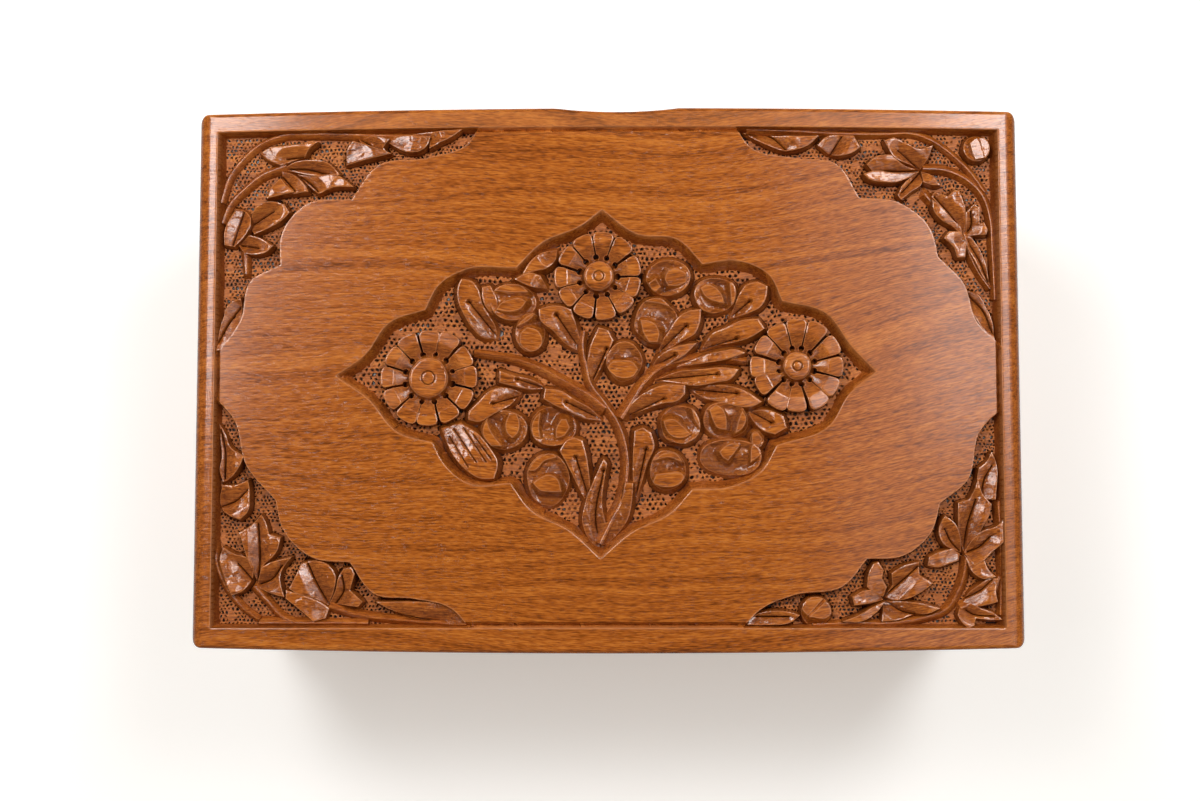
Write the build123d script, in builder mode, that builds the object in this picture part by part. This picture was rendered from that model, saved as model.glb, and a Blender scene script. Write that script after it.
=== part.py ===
from build123d import *
import os
from math import atan2, cos, degrees, hypot, pi, radians, sin, tan

# A keepsake box in solid walnut with a carved lid.
# +Z is up, the origin is on the table under the middle of the box, the box opens at -Y and is hinged
# at +Y. Everything is in millimetres.

# ---------------------------------------------------------------- driving dimensions
# The outside, and the boards it is made of
LID_LENGTH = 254.0  # over the ends, along X
LID_DEPTH = 165.0  # front to rear at the corners, along Y
EDGE_BOW = 1.7  # how far the long edges of the lid panel swell half way along
CORNER_RADIUS = 3.0  # upright corners of the lid panel and the base board
OVERHANG = 3.0  # the lid panel and the base board stand this far past the walls
FELT_THICKNESS = 1.0
BASE_THICKNESS = 8.0
WALL_HEIGHT = 62.0
RAIL_HEIGHT = 14.0  # the lid's own four sides
PANEL_THICKNESS = 15.0  # the carved board on top
WALL_THICKNESS = 11.0
BASE_EDGE_ROUND = 2.0
FELT_INSET = 2.5  # from the edge of the base board
LINING_THICKNESS = 2.0
LINING_GAP = 0.3  # between the floor lining and the walls

# Dovetails at the corners
WALL_TAIL_COUNT = 3
WALL_TAIL_WIDTH = 14.0  # at the wide end
RAIL_TAIL_COUNT = 1
RAIL_TAIL_WIDTH = 8.5
TAIL_ANGLE = 10.0  # degrees off square

# Butt hinges: the pin lies on the parting line, inside the rear face
HINGE_END_INSET = 49.0  # from the end of the walls to the middle of a hinge
HINGE_LENGTH = 28.0
HINGE_PIN_INSET = 2.5  # from the rear face of the wall to the pin's axis
LEAF_WIDTH = 7.5  # from the pin's axis to the free edge
LEAF_THICKNESS = 1.0
LEAF_SUNK = 0.1  # below the edge of the wood
KNUCKLE_RADIUS = 1.75
KNUCKLE_GAP = 0.3  # between knuckles, along the pin
PIN_RADIUS = 0.8
PIN_END = 0.4  # how far the pin shows past the knuckles
PIN_CLEARANCE = 0.08  # in the knuckle that turns on the pin
HINGE_ROOM = 0.35  # between a knuckle and the wood or leaf that turns past it
OPENING_STOP = 102.0  # degrees, where the two bevelled edges would meet

# Screws
FIT = 0.02  # between a screw or a fixed pin and its hole
HINGE_SCREW_RADIUS = 1.1
HINGE_SCREW_HEAD_RADIUS = 1.9
HINGE_SCREW_LENGTH = 9.0
HINGE_SCREW_SPACING = 17.0
BASE_SCREW_RADIUS = 1.75
BASE_SCREW_HEAD_RADIUS = 3.5
BASE_SCREW_LENGTH = 24.0
BASE_SCREW_END_INSET = 34.0  # from the end of the walls to the last screw in a long wall
SLOT_WIDTH = 0.5
SLOT_DEPTH = 0.45

# Lid panel
END_ROUND_WIDTH = 5.0  # the ends are rounded over far, the long edges only a little
END_ROUND_DROP = 3.5
LONG_EDGE_ROUND = 1.4
SCOOP_WIDTH = 37.0  # thumb scoop in the front edge
SCOOP_SHIFT = -3.5  # its middle is left of the lid's middle, as one faces the box
SCOOP_TOP_DEPTH = 1.1
SCOOP_BOTTOM_DEPTH = 3.0

# Carving. Its pattern is drawn as the carver sees it from the hinge side: u to the right, v away,
# so u = -X and v = -Y, in steps of one pattern unit.
PATTERN_UNIT = 1.0
RIM_WIDTH = 6.0  # flat rim all round the carving
GROOVE_WIDTH = 1.6
GROOVE_DEPTH = 1.6
GROUND_DEPTH = 4.0  # sunk ground of the medallion and of the corners
WALL_RUN = 2.0  # how far the medallion's sloping wall runs inwards on its way down
PETAL_TOP = 0.4  # below the lid's surface
PETAL_DIP = 1.8  # how much lower a petal is at its inner end
PETAL_CREASE = 0.35  # width of the cut between two petals
PETAL_FLAT = 2.2  # flat tip of a petal, beyond its dip
DISC_ROUND = 0.6
LEAF_TOP = 1.2
STEM_TOP = 1.8
STEM_WIDTH = 3.0
BUD_TOP = 0.8
BUD_TAPER = 15.0  # degrees off upright

# ---------------------------------------------------------------- the pattern
# The medallion's edge: runs from one point or cusp to the next, clockwise from the front tip.
MEDALLION = [
    [(-1.5, 52), (9, 44.5), (22, 42.5), (29.5, 35)],
    [(29.5, 35), (40, 36), (50, 31.5), (54, 23.5)],
    [(54, 23.5), (67.5, 19.5), (75, 9.5), (82.5, 1.5)],
    [(82.5, 1.5), (74.5, -5), (68, -15), (52, -21)],
    [(52, -21), (47, -29), (38, -33.5), (26, -34.5)],
    [(26, -34.5), (19.5, -41.5), (7.5, -47.5), (-2, -55.5)],
    [(-2, -55.5), (-11.5, -47), (-23.5, -40.5), (-29.5, -32.5)],
    [(-29.5, -32.5), (-42.5, -32.5), (-50, -26.5), (-53.5, -20)],
    [(-53.5, -20), (-64, -17), (-73.5, -6.5), (-83.5, 0.5)],
    [(-83.5, 0.5), (-74.5, 7), (-67, 17), (-56, 21)],
    [(-56, 21), (-52, 28.5), (-43.5, 33.5), (-28, 34)],
    [(-28, 34), (-19.5, 42), (-8, 47), (-1.5, 52)],
]

# Each corner of the plain field, in from the rim's inner corner: (along the length, along the depth).
FRONT_LEFT_FIELD = [
    [(81.5, -2), (78, 3.5), (65.5, 8), (50, 10.5), (42, 21)],
    [(42, 21), (28, 22.5), (20.5, 31.5), (20, 41.5)],
    [(20, 41.5), (11, 46.5), (8, 58.5), (-1, 71)],
]
FRONT_RIGHT_FIELD = [
    [(81.5, -2), (76.5, 5), (63, 8.5), (50, 10.5), (43, 21)],
    [(43, 21), (31, 22.5), (21.5, 30.5), (19, 39.5)],
    [(19, 39.5), (11.5, 47.5), (7.5, 59.5), (-1, 68)],
]
REAR_LEFT_FIELD = [
    [(80, -1), (73.5, 6), (62, 9), (50, 10.5), (42.5, 20)],
    [(42.5, 20), (31, 21.5), (22, 30), (19.5, 39)],
    [(19.5, 39), (10.5, 49.5), (6.5, 63.5), (-1, 72)],
]
REAR_RIGHT_FIELD = [
    [(81, -1), (74, 6), (64.5, 10), (49, 13), (42, 21)],
    [(42, 21), (31, 22), (22.5, 29), (19.5, 38)],
    [(19.5, 38), (11.5, 44.5), (7, 60), (-1, 68)],
]

# Rosettes: middle, radius of the disc, outer radius, number of petals.
ROSETTES = [((-55, 0), 6.0, 15.0, 12), ((-2.5, 31.5), 4.5, 13.5, 11), ((58.5, 3.5), 4.2, 14.5, 12)]

# Stems, from the root outwards.
STEMS = [
    [(-2, -50), (5.5, -35), (6, -24), (-5, -2.5), (-7.5, 10), (-5, 20)],
    [(0, -10), (-11.5, -2.5), (-22, 3), (-42, 7.5)],
    [(4, -13), (10.5, -3.5), (22, 4.5), (46, 5)],
]

# Buds: middle and radius.
BUDS = [
    ((-30, 23), 6.0),
    ((-23.5, 13.5), 5.0),
    ((15, 17.5), 7.0),
    ((33, 24.5), 6.0),
    ((19, 30.5), 5.5),
    ((5.5, 5), 5.5),
    ((22.5, -15), 6.0),
    ((37, -12.5), 6.0),
    ((18.5, -28.5), 6.0),
    ((-31, -15.5), 6.0),
    ((-18, -16), 6.0),
    ((-17, -31), 7.0),
]

# Leaves of the medallion: root, tip and width.
LEAVES = [
    ((-45, 29.5), (-34, 14.5), 4.5),
    ((-15.5, 40), (-26, 32.5), 4.5),
    ((-9, 11), (-20, 20), 5.5),
    ((-2, 1), (0, 15), 5.0),
    ((29, 20.5), (15.5, 7), 5.0),
    ((48.5, 27.5), (38.5, 18.5), 5.5),
    ((29, 9), (46, 17.5), 4.5),
    ((18, -0.5), (40, 0.5), 3.5),
    ((25, -4.5), (47, -7.5), 3.5),
    ((44.5, -11), (53.5, -14.5), 4.5),
    ((11, -17), (8.5, -37), 5.5),
    ((-42, -9.5), (-29.5, -5.5), 4.5),
    ((-47, -15), (-36, -29), 7.5),
    ((-32.5, 1), (-19, -2.5), 3.0),
    ((-19, -6), (-4, -12.5), 4.5),
    ((-10, -20.5), (-5, -38), 5.5),
]

# Leaves of each corner, in from the rim's inner corner: root, tip and width.
FRONT_LEFT_LEAVES = [
    ((12.5, 5.5), (31, 4), 5.0),
    ((20.5, 12), (40, 16), 6.5),
    ((52.5, 5.5), (40.5, 8), 4.0),
    ((11.5, 25.5), (3.5, 35), 5.0),
    ((20, 22.5), (10, 26.5), 3.5),
    ((6.5, 53), (2.5, 66), 4.0),
]
FRONT_RIGHT_LEAVES = [
    ((55, 3.5), (66, 4.5), 4.0),
    ((54, 4.5), (43, 7), 5.0),
    ((24, 11.5), (34, 3.5), 6.0),
    ((24.5, 12), (40, 12.5), 4.5),
    ((23.5, 14), (29.5, 20), 4.5),
    ((10.5, 32), (13, 19), 5.5),
    ((11, 32), (18.5, 24), 4.5),
    ((10.5, 32.5), (16, 38.5), 4.5),
    ((10, 33), (4, 47.5), 3.0),
    ((8.5, 52), (3, 63), 4.0),
]
REAR_LEFT_LEAVES = [
    ((3.5, 61), (4.5, 46), 4.5),
    ((4, 43.5), (9.5, 34), 6.5),
    ((14.5, 13.5), (14.5, 33), 5.5),
    ((13.5, 14), (7, 28.5), 4.5),
    ((12.5, 12.5), (3, 22.5), 5.5),
    ((15.5, 12.5), (22.5, 20), 6.0),
    ((27, 4), (30, 18.5), 9.0),
    ((37, 7), (44.5, 15), 6.5),
    ((53, 4), (76, 2.8), 4.0),
]
REAR_RIGHT_LEAVES = [
    ((12.5, 23), (9, 43), 8.5),
    ((12, 23), (3, 30.5), 5.0),
    ((12, 22), (5.5, 16), 4.5),
    ((13.5, 23.5), (18, 33), 5.0),
    ((5.5, 39), (3.5, 52), 4.5),
    ((12, 8), (3.5, 13.5), 5.5),
    ((36.5, 10.5), (39, 18.5), 5.0),
    ((35.5, 9.5), (24, 17), 8.5),
    ((35.5, 8.5), (21, 6), 4.5),
    ((63, 3.5), (76, 2.6), 3.0),
]

# ---------------------------------------------------------------- places worked out from them
WALLS_LENGTH = LID_LENGTH - 2 * OVERHANG
WALLS_DEPTH = LID_DEPTH - 2 * OVERHANG
INSIDE_LENGTH = WALLS_LENGTH - 2 * WALL_THICKNESS
INSIDE_DEPTH = WALLS_DEPTH - 2 * WALL_THICKNESS
RECESS_LENGTH = LID_LENGTH - 2 * RIM_WIDTH
RECESS_DEPTH = LID_DEPTH - 2 * RIM_WIDTH

BASE_Z = FELT_THICKNESS
WALL_Z = BASE_Z + BASE_THICKNESS
PARTING_Z = WALL_Z + WALL_HEIGHT
PANEL_Z = PARTING_Z + RAIL_HEIGHT
TOP_Z = PANEL_Z + PANEL_THICKNESS

PIN_Y = WALLS_DEPTH / 2 - HINGE_PIN_INSET
LEAF_FREE_Y = PIN_Y - LEAF_WIDTH
KNUCKLE_LENGTH = (HINGE_LENGTH - 2 * KNUCKLE_GAP) / 3
HINGE_SCREW_Y = (LEAF_FREE_Y + PIN_Y - KNUCKLE_RADIUS) / 2
HINGE_X = WALLS_LENGTH / 2 - HINGE_END_INSET
HINGES = {"left": -HINGE_X, "right": HINGE_X}

CARVER = Plane(origin=(0, 0, TOP_Z), x_dir=(-1, 0, 0), z_dir=(0, 0, 1))
GROUND = CARVER.offset(-GROUND_DEPTH)
CORNERS = [  # which way is outwards in u and in v, the field's edge and the leaves
    (-1, 1, FRONT_LEFT_FIELD, FRONT_LEFT_LEAVES),
    (1, 1, FRONT_RIGHT_FIELD, FRONT_RIGHT_LEAVES),
    (-1, -1, REAR_LEFT_FIELD, REAR_LEFT_LEAVES),
    (1, -1, REAR_RIGHT_FIELD, REAR_RIGHT_LEAVES),
]


def finish(part, name):
    """Label a finished piece and write it to its own file."""
    part.label = name
    export_step(part, f"parts/{name}.step")


# ---------------------------------------------------------------- box walls and lid rails
def tailed_board(inner_y, low_z, height, tails, tail_width):
    """A front or rear board with dovetails at both ends; inner_y is its inner face."""
    shoulder = INSIDE_LENGTH / 2
    end = WALLS_LENGTH / 2
    root_width = tail_width - 2 * WALL_THICKNESS * tan(radians(TAIL_ANGLE))
    with BuildPart() as board:
        with BuildSketch(Plane.XZ.offset(-inner_y)):
            with Locations((0, low_z + height / 2)):
                Rectangle(INSIDE_LENGTH, height)
            for side in (-1, 1):
                for i in range(tails):
                    z = low_z + (i + 0.5) * height / tails
                    with BuildLine():
                        Polyline(
                            (side * shoulder, z - root_width / 2),
                            (side * end, z - tail_width / 2),
                            (side * end, z + tail_width / 2),
                            (side * shoulder, z + root_width / 2),
                            close=True,
                        )
                    make_face()
        extrude(amount=WALL_THICKNESS if inner_y < 0 else -WALL_THICKNESS)
    return board.part


def edge_bevel(down):
    """What is planed off the rear edge on one side of the parting line, so that the lid can swing."""
    reach = HINGE_PIN_INSET + OVERHANG
    drop = reach * tan(radians(OPENING_STOP / 2)) * (-1 if down else 1)
    with BuildPart() as bevel:
        with BuildSketch(Plane.YZ.offset(-WALLS_LENGTH)):
            with BuildLine():
                Polyline(
                    (PIN_Y, PARTING_Z),
                    (PIN_Y + reach, PARTING_Z),
                    (PIN_Y + reach, PARTING_Z + drop),
                    close=True,
                )
            make_face()
        extrude(amount=2 * WALLS_LENGTH)
    return bevel.part


def hinge_mortise(middle_x, down):
    """The wood cut away for one hinge on one side of the parting line."""
    side = -1 if down else 1
    depth = LEAF_THICKNESS + LEAF_SUNK
    length = HINGE_LENGTH + 2 * PIN_END + 2 * KNUCKLE_GAP
    with BuildPart() as mortise:
        with Locations((middle_x, (LEAF_FREE_Y + PIN_Y) / 2, PARTING_Z + side * depth / 2)):
            Box(HINGE_LENGTH, LEAF_WIDTH, depth)
        with Locations((middle_x, PIN_Y, PARTING_Z)):
            Cylinder(KNUCKLE_RADIUS + HINGE_ROOM, length, rotation=(0, 90, 0))
        for step in (-0.5, 0.5):
            with Locations((middle_x + step * HINGE_SCREW_SPACING, HINGE_SCREW_Y, PARTING_Z)):
                Cylinder(HINGE_SCREW_RADIUS + FIT, 2 * (HINGE_SCREW_LENGTH + LEAF_SUNK + FIT))
    return mortise.part


WALL_TAIL_SET = (WALL_Z, WALL_HEIGHT, WALL_TAIL_COUNT, WALL_TAIL_WIDTH)
RAIL_TAIL_SET = (PARTING_Z, RAIL_HEIGHT, RAIL_TAIL_COUNT, RAIL_TAIL_WIDTH)
front_wall_board = tailed_board(-INSIDE_DEPTH / 2, *WALL_TAIL_SET)
rear_wall_board = tailed_board(INSIDE_DEPTH / 2, *WALL_TAIL_SET)
front_rail_board = tailed_board(-INSIDE_DEPTH / 2, *RAIL_TAIL_SET)
rear_rail_board = tailed_board(INSIDE_DEPTH / 2, *RAIL_TAIL_SET)
wall_bevel = edge_bevel(down=True)
rail_bevel = edge_bevel(down=False)


def screw_places():
    """Middles of the base screws, as (x, y), in the middle of each wall's thickness."""
    y = (WALLS_DEPTH - WALL_THICKNESS) / 2
    x = (WALLS_LENGTH - WALL_THICKNESS) / 2
    last_x = WALLS_LENGTH / 2 - BASE_SCREW_END_INSET
    long_sides = [(step * last_x, side * y) for side in (-1, 1) for step in (-1, 0, 1)]
    return long_sides + [(-x, 0), (x, 0)]


def wood_screw(radius, head_radius, length):
    """A slotted countersunk screw, its head's flat face at z = 0 and its point down."""
    head_depth = head_radius - radius
    with BuildPart() as screw:
        with BuildSketch(Plane.XZ):
            with BuildLine():
                Polyline(
                    (0, 0),
                    (head_radius, 0),
                    (radius, -head_depth),
                    (radius, radius - length),
                    (0, -length),
                    close=True,
                )
            make_face()
        revolve(axis=Axis.Z)
        Box(2 * head_radius, SLOT_WIDTH, 2 * SLOT_DEPTH, mode=Mode.SUBTRACT)
    return screw.part


def screw_hole(radius, head_radius, length):
    """The countersunk hole for wood_screw, its mouth at z = 0."""
    head_depth = head_radius - radius
    with BuildPart() as hole:
        with BuildSketch(Plane.XZ):
            with BuildLine():
                Polyline(
                    (0, 0),
                    (head_radius + FIT, 0),
                    (radius + FIT, -head_depth),
                    (radius + FIT, -length - FIT),
                    (0, -length - FIT),
                    close=True,
                )
            make_face()
        revolve(axis=Axis.Z)
    return hole.part


BASE_SCREW = (BASE_SCREW_RADIUS, BASE_SCREW_HEAD_RADIUS, BASE_SCREW_LENGTH)
HINGE_SCREW = (HINGE_SCREW_RADIUS, HINGE_SCREW_HEAD_RADIUS, HINGE_SCREW_LENGTH)
with BuildPart() as base_screw_holes:
    with Locations(*[Pos(x, y, BASE_Z) * Rot(180, 0, 0) for x, y in screw_places()]):
        add(screw_hole(*BASE_SCREW))

with BuildPart() as front_wall:
    add(front_wall_board)
    add(base_screw_holes.part, mode=Mode.SUBTRACT)

with BuildPart() as rear_wall:
    add(rear_wall_board)
    add(base_screw_holes.part, mode=Mode.SUBTRACT)
    add(wall_bevel, mode=Mode.SUBTRACT)
    for hinge_x in HINGES.values():
        add(hinge_mortise(hinge_x, down=True), mode=Mode.SUBTRACT)

with BuildPart() as lid_front_rail:
    add(front_rail_board)

with BuildPart() as lid_rear_rail:
    add(rear_rail_board)
    add(rail_bevel, mode=Mode.SUBTRACT)
    for hinge_x in HINGES.values():
        add(hinge_mortise(hinge_x, down=False), mode=Mode.SUBTRACT)


def end_board(side, low_z, height, long_boards, bevel):
    """A left or right board: what is left between the tails of the front and rear boards."""
    with BuildPart() as board:
        with Locations((side * (WALLS_LENGTH - WALL_THICKNESS) / 2, 0, low_z + height / 2)):
            Box(WALL_THICKNESS, WALLS_DEPTH, height)
        for long_board in long_boards:
            add(long_board, mode=Mode.SUBTRACT)
        add(bevel, mode=Mode.SUBTRACT)
        add(base_screw_holes.part, mode=Mode.SUBTRACT)
    return board.part


wall_boards = (front_wall_board, rear_wall_board)
rail_boards = (front_rail_board, rear_rail_board)
left_wall = end_board(-1, WALL_Z, WALL_HEIGHT, wall_boards, wall_bevel)
right_wall = end_board(1, WALL_Z, WALL_HEIGHT, wall_boards, wall_bevel)
lid_left_rail = end_board(-1, PARTING_Z, RAIL_HEIGHT, rail_boards, rail_bevel)
lid_right_rail = end_board(1, PARTING_Z, RAIL_HEIGHT, rail_boards, rail_bevel)

# ---------------------------------------------------------------- base, its screws, felt and lining
with BuildPart() as base_board:
    with BuildSketch(Plane.XY.offset(BASE_Z)):
        RectangleRounded(LID_LENGTH, LID_DEPTH, CORNER_RADIUS)
    extrude(amount=BASE_THICKNESS)
    top_and_bottom = base_board.faces().filter_by(Axis.Z).sort_by(Axis.Z)
    fillet(top_and_bottom[-1].edges(), BASE_EDGE_ROUND)
    add(base_screw_holes.part, mode=Mode.SUBTRACT)

with BuildPart() as base_screws:
    with Locations(*[Pos(x, y, BASE_Z) * Rot(180, 0, 0) for x, y in screw_places()]):
        add(wood_screw(*BASE_SCREW))

with BuildPart() as base_felt:
    with BuildSketch():
        RectangleRounded(LID_LENGTH - 2 * FELT_INSET, LID_DEPTH - 2 * FELT_INSET, CORNER_RADIUS)
    extrude(amount=FELT_THICKNESS)

with BuildPart() as floor_lining:
    with BuildSketch(Plane.XY.offset(WALL_Z)):
        Rectangle(INSIDE_LENGTH - 2 * LINING_GAP, INSIDE_DEPTH - 2 * LINING_GAP)
    extrude(amount=LINING_THICKNESS)


# ---------------------------------------------------------------- hinges
def knuckle_middles(middle_x, outer):
    """Middles along X of a leaf's own knuckles: the two outer ones or the one between them."""
    pitch = KNUCKLE_LENGTH + KNUCKLE_GAP
    return [middle_x - pitch, middle_x + pitch] if outer else [middle_x]


def hinge_leaf(middle_x, down):
    """One leaf with its knuckles; the box leaf has the outer two, the lid leaf the middle one."""
    side = -1 if down else 1
    face_z = PARTING_Z + side * LEAF_SUNK
    bore = PIN_RADIUS + (FIT if down else PIN_CLEARANCE)
    with BuildPart() as leaf:
        with Locations((middle_x, (LEAF_FREE_Y + PIN_Y) / 2, face_z + side * LEAF_THICKNESS / 2)):
            Box(HINGE_LENGTH, LEAF_WIDTH, LEAF_THICKNESS)
        for x in knuckle_middles(middle_x, outer=not down):
            with Locations((x, PIN_Y, PARTING_Z)):
                Cylinder(
                    KNUCKLE_RADIUS + HINGE_ROOM,
                    KNUCKLE_LENGTH + 2 * KNUCKLE_GAP,
                    rotation=(0, 90, 0),
                    mode=Mode.SUBTRACT,
                )
        for x in knuckle_middles(middle_x, outer=down):
            with Locations((x, PIN_Y, PARTING_Z)):
                Cylinder(KNUCKLE_RADIUS, KNUCKLE_LENGTH, rotation=(0, 90, 0))
        with Locations((middle_x, PIN_Y, PARTING_Z)):
            Cylinder(bore, HINGE_LENGTH + 2 * PIN_END, rotation=(0, 90, 0), mode=Mode.SUBTRACT)
        for step in (-0.5, 0.5):
            place = Pos(middle_x + step * HINGE_SCREW_SPACING, HINGE_SCREW_Y, face_z)
            with Locations(place * Rot(0 if down else 180, 0, 0)):
                add(screw_hole(*HINGE_SCREW), mode=Mode.SUBTRACT)
    return leaf.part


def hinge_pin(middle_x):
    """A plain pin with eased ends that show a little past the outer knuckles."""
    with BuildPart() as pin:
        with Locations((middle_x, PIN_Y, PARTING_Z)):
            Cylinder(PIN_RADIUS, HINGE_LENGTH + 2 * PIN_END, rotation=(0, 90, 0))
        chamfer(pin.edges().filter_by(GeomType.CIRCLE), PIN_END / 2)
    return pin.part


def hinge_screws(down):
    """The four screws of the two leaves on one side of the parting line."""
    side = -1 if down else 1
    with BuildPart() as screws:
        for hinge_x in HINGES.values():
            for step in (-0.5, 0.5):
                x = hinge_x + step * HINGE_SCREW_SPACING
                place = Pos(x, HINGE_SCREW_Y, PARTING_Z + side * LEAF_SUNK)
                with Locations(place * Rot(0 if down else 180, 0, 0)):
                    add(wood_screw(*HINGE_SCREW))
    return screws.part


# ---------------------------------------------------------------- carved lid panel
def pattern(points):
    """Pattern points in millimetres."""
    return [(u * PATTERN_UNIT, v * PATTERN_UNIT) for u, v in points]


def from_corner(points, u_side, v_side):
    """Points given inwards from the rim's inner corner, as pattern places."""
    half_length = RECESS_LENGTH / 2
    half_depth = RECESS_DEPTH / 2
    return [(u_side * (half_length - u), v_side * (half_depth - v)) for u, v in pattern(points)]


def leaf_outline(root, tip, width):
    """A pointed leaf between two arcs."""
    along_u = tip[0] - root[0]
    along_v = tip[1] - root[1]
    length = hypot(along_u, along_v)
    middle = ((root[0] + tip[0]) / 2, (root[1] + tip[1]) / 2)
    bulge = width * PATTERN_UNIT / 2 / length
    with BuildSketch() as outline:
        with BuildLine():
            ThreePointArc(root, (middle[0] - along_v * bulge, middle[1] + along_u * bulge), tip)
            ThreePointArc(tip, (middle[0] + along_v * bulge, middle[1] - along_u * bulge), root)
        make_face()
    return outline.sketch


def rosette(disc_radius, outer_radius, petals):
    """A flower head standing on z = 0: a domed disc in a ring of petals that dip towards it."""
    height = GROUND_DEPTH - PETAL_TOP
    half_turn = pi / petals
    crease = PETAL_CREASE / 2
    near = disc_radius + crease
    far = outer_radius * cos(half_turn) - crease
    near_half = near * tan(half_turn) - crease
    far_half = far * tan(half_turn) - crease
    with BuildSketch() as petal:
        with BuildLine():
            Line((near, -near_half), (far, -far_half))
            ThreePointArc((far, -far_half), (outer_radius, 0), (far, far_half))
            Polyline((far, far_half), (near, near_half), (near, -near_half))
        make_face()
    with BuildPart() as flower:
        with BuildSketch():
            with PolarLocations(0, petals):
                add(petal.sketch)
        extrude(amount=height)
        with BuildSketch(Plane.XZ):
            with BuildLine():
                Polyline(
                    (0, height - PETAL_DIP),
                    (near, height - PETAL_DIP),
                    (outer_radius - PETAL_FLAT, height),
                    (outer_radius - PETAL_FLAT, height + PETAL_TOP),
                    (0, height + PETAL_TOP),
                    close=True,
                )
            make_face()
        revolve(axis=Axis.Z, mode=Mode.SUBTRACT)
        Cylinder(disc_radius, height - PETAL_DIP / 2, align=(Align.CENTER, Align.CENTER, Align.MIN))
        rim = flower.edges().filter_by(GeomType.CIRCLE).group_by(Axis.Z)[-1].sort_by(SortBy.RADIUS)[0]
        fillet(rim, DISC_ROUND)
    return flower.part


with BuildSketch(CARVER) as recess_sketch:
    with BuildLine():
        recess_u = RECESS_LENGTH / 2
        recess_v = RECESS_DEPTH / 2
        Polyline((-recess_u, recess_v), (-recess_u, -recess_v), (recess_u, -recess_v), (recess_u, recess_v))
        ThreePointArc((recess_u, recess_v), (0, recess_v + EDGE_BOW), (-recess_u, recess_v))
    make_face()

with BuildSketch(CARVER) as corner_sketch:
    for u_side, v_side, field_runs, _ in CORNERS:
        runs = [from_corner(run, u_side, v_side) for run in field_runs]
        past_u = u_side * LID_LENGTH / 2
        past_v = v_side * (LID_DEPTH / 2 + EDGE_BOW)
        with BuildLine():
            for run in runs:
                Spline(*run)
            Polyline(
                runs[-1][-1],
                (past_u, runs[-1][-1][1]),
                (past_u, past_v),
                (runs[0][0][0], past_v),
                runs[0][0],
            )
        make_face()
    add(recess_sketch.sketch, mode=Mode.INTERSECT)



def medallion_face(plane, inset):
    """The medallion's outline on a plane, drawn in by inset at its four tips."""
    reach_u = max(abs(u) for run in MEDALLION for u, _ in run) * PATTERN_UNIT
    reach_v = max(abs(v) for run in MEDALLION for _, v in run) * PATTERN_UNIT
    shrink_u = 1 - inset / reach_u
    shrink_v = 1 - inset / reach_v
    with BuildSketch(plane) as outline:
        with BuildLine():
            for run in MEDALLION:
                Spline(*[(u * shrink_u, v * shrink_v) for u, v in pattern(run)])
        make_face()
    return outline.sketch.face()


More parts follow.
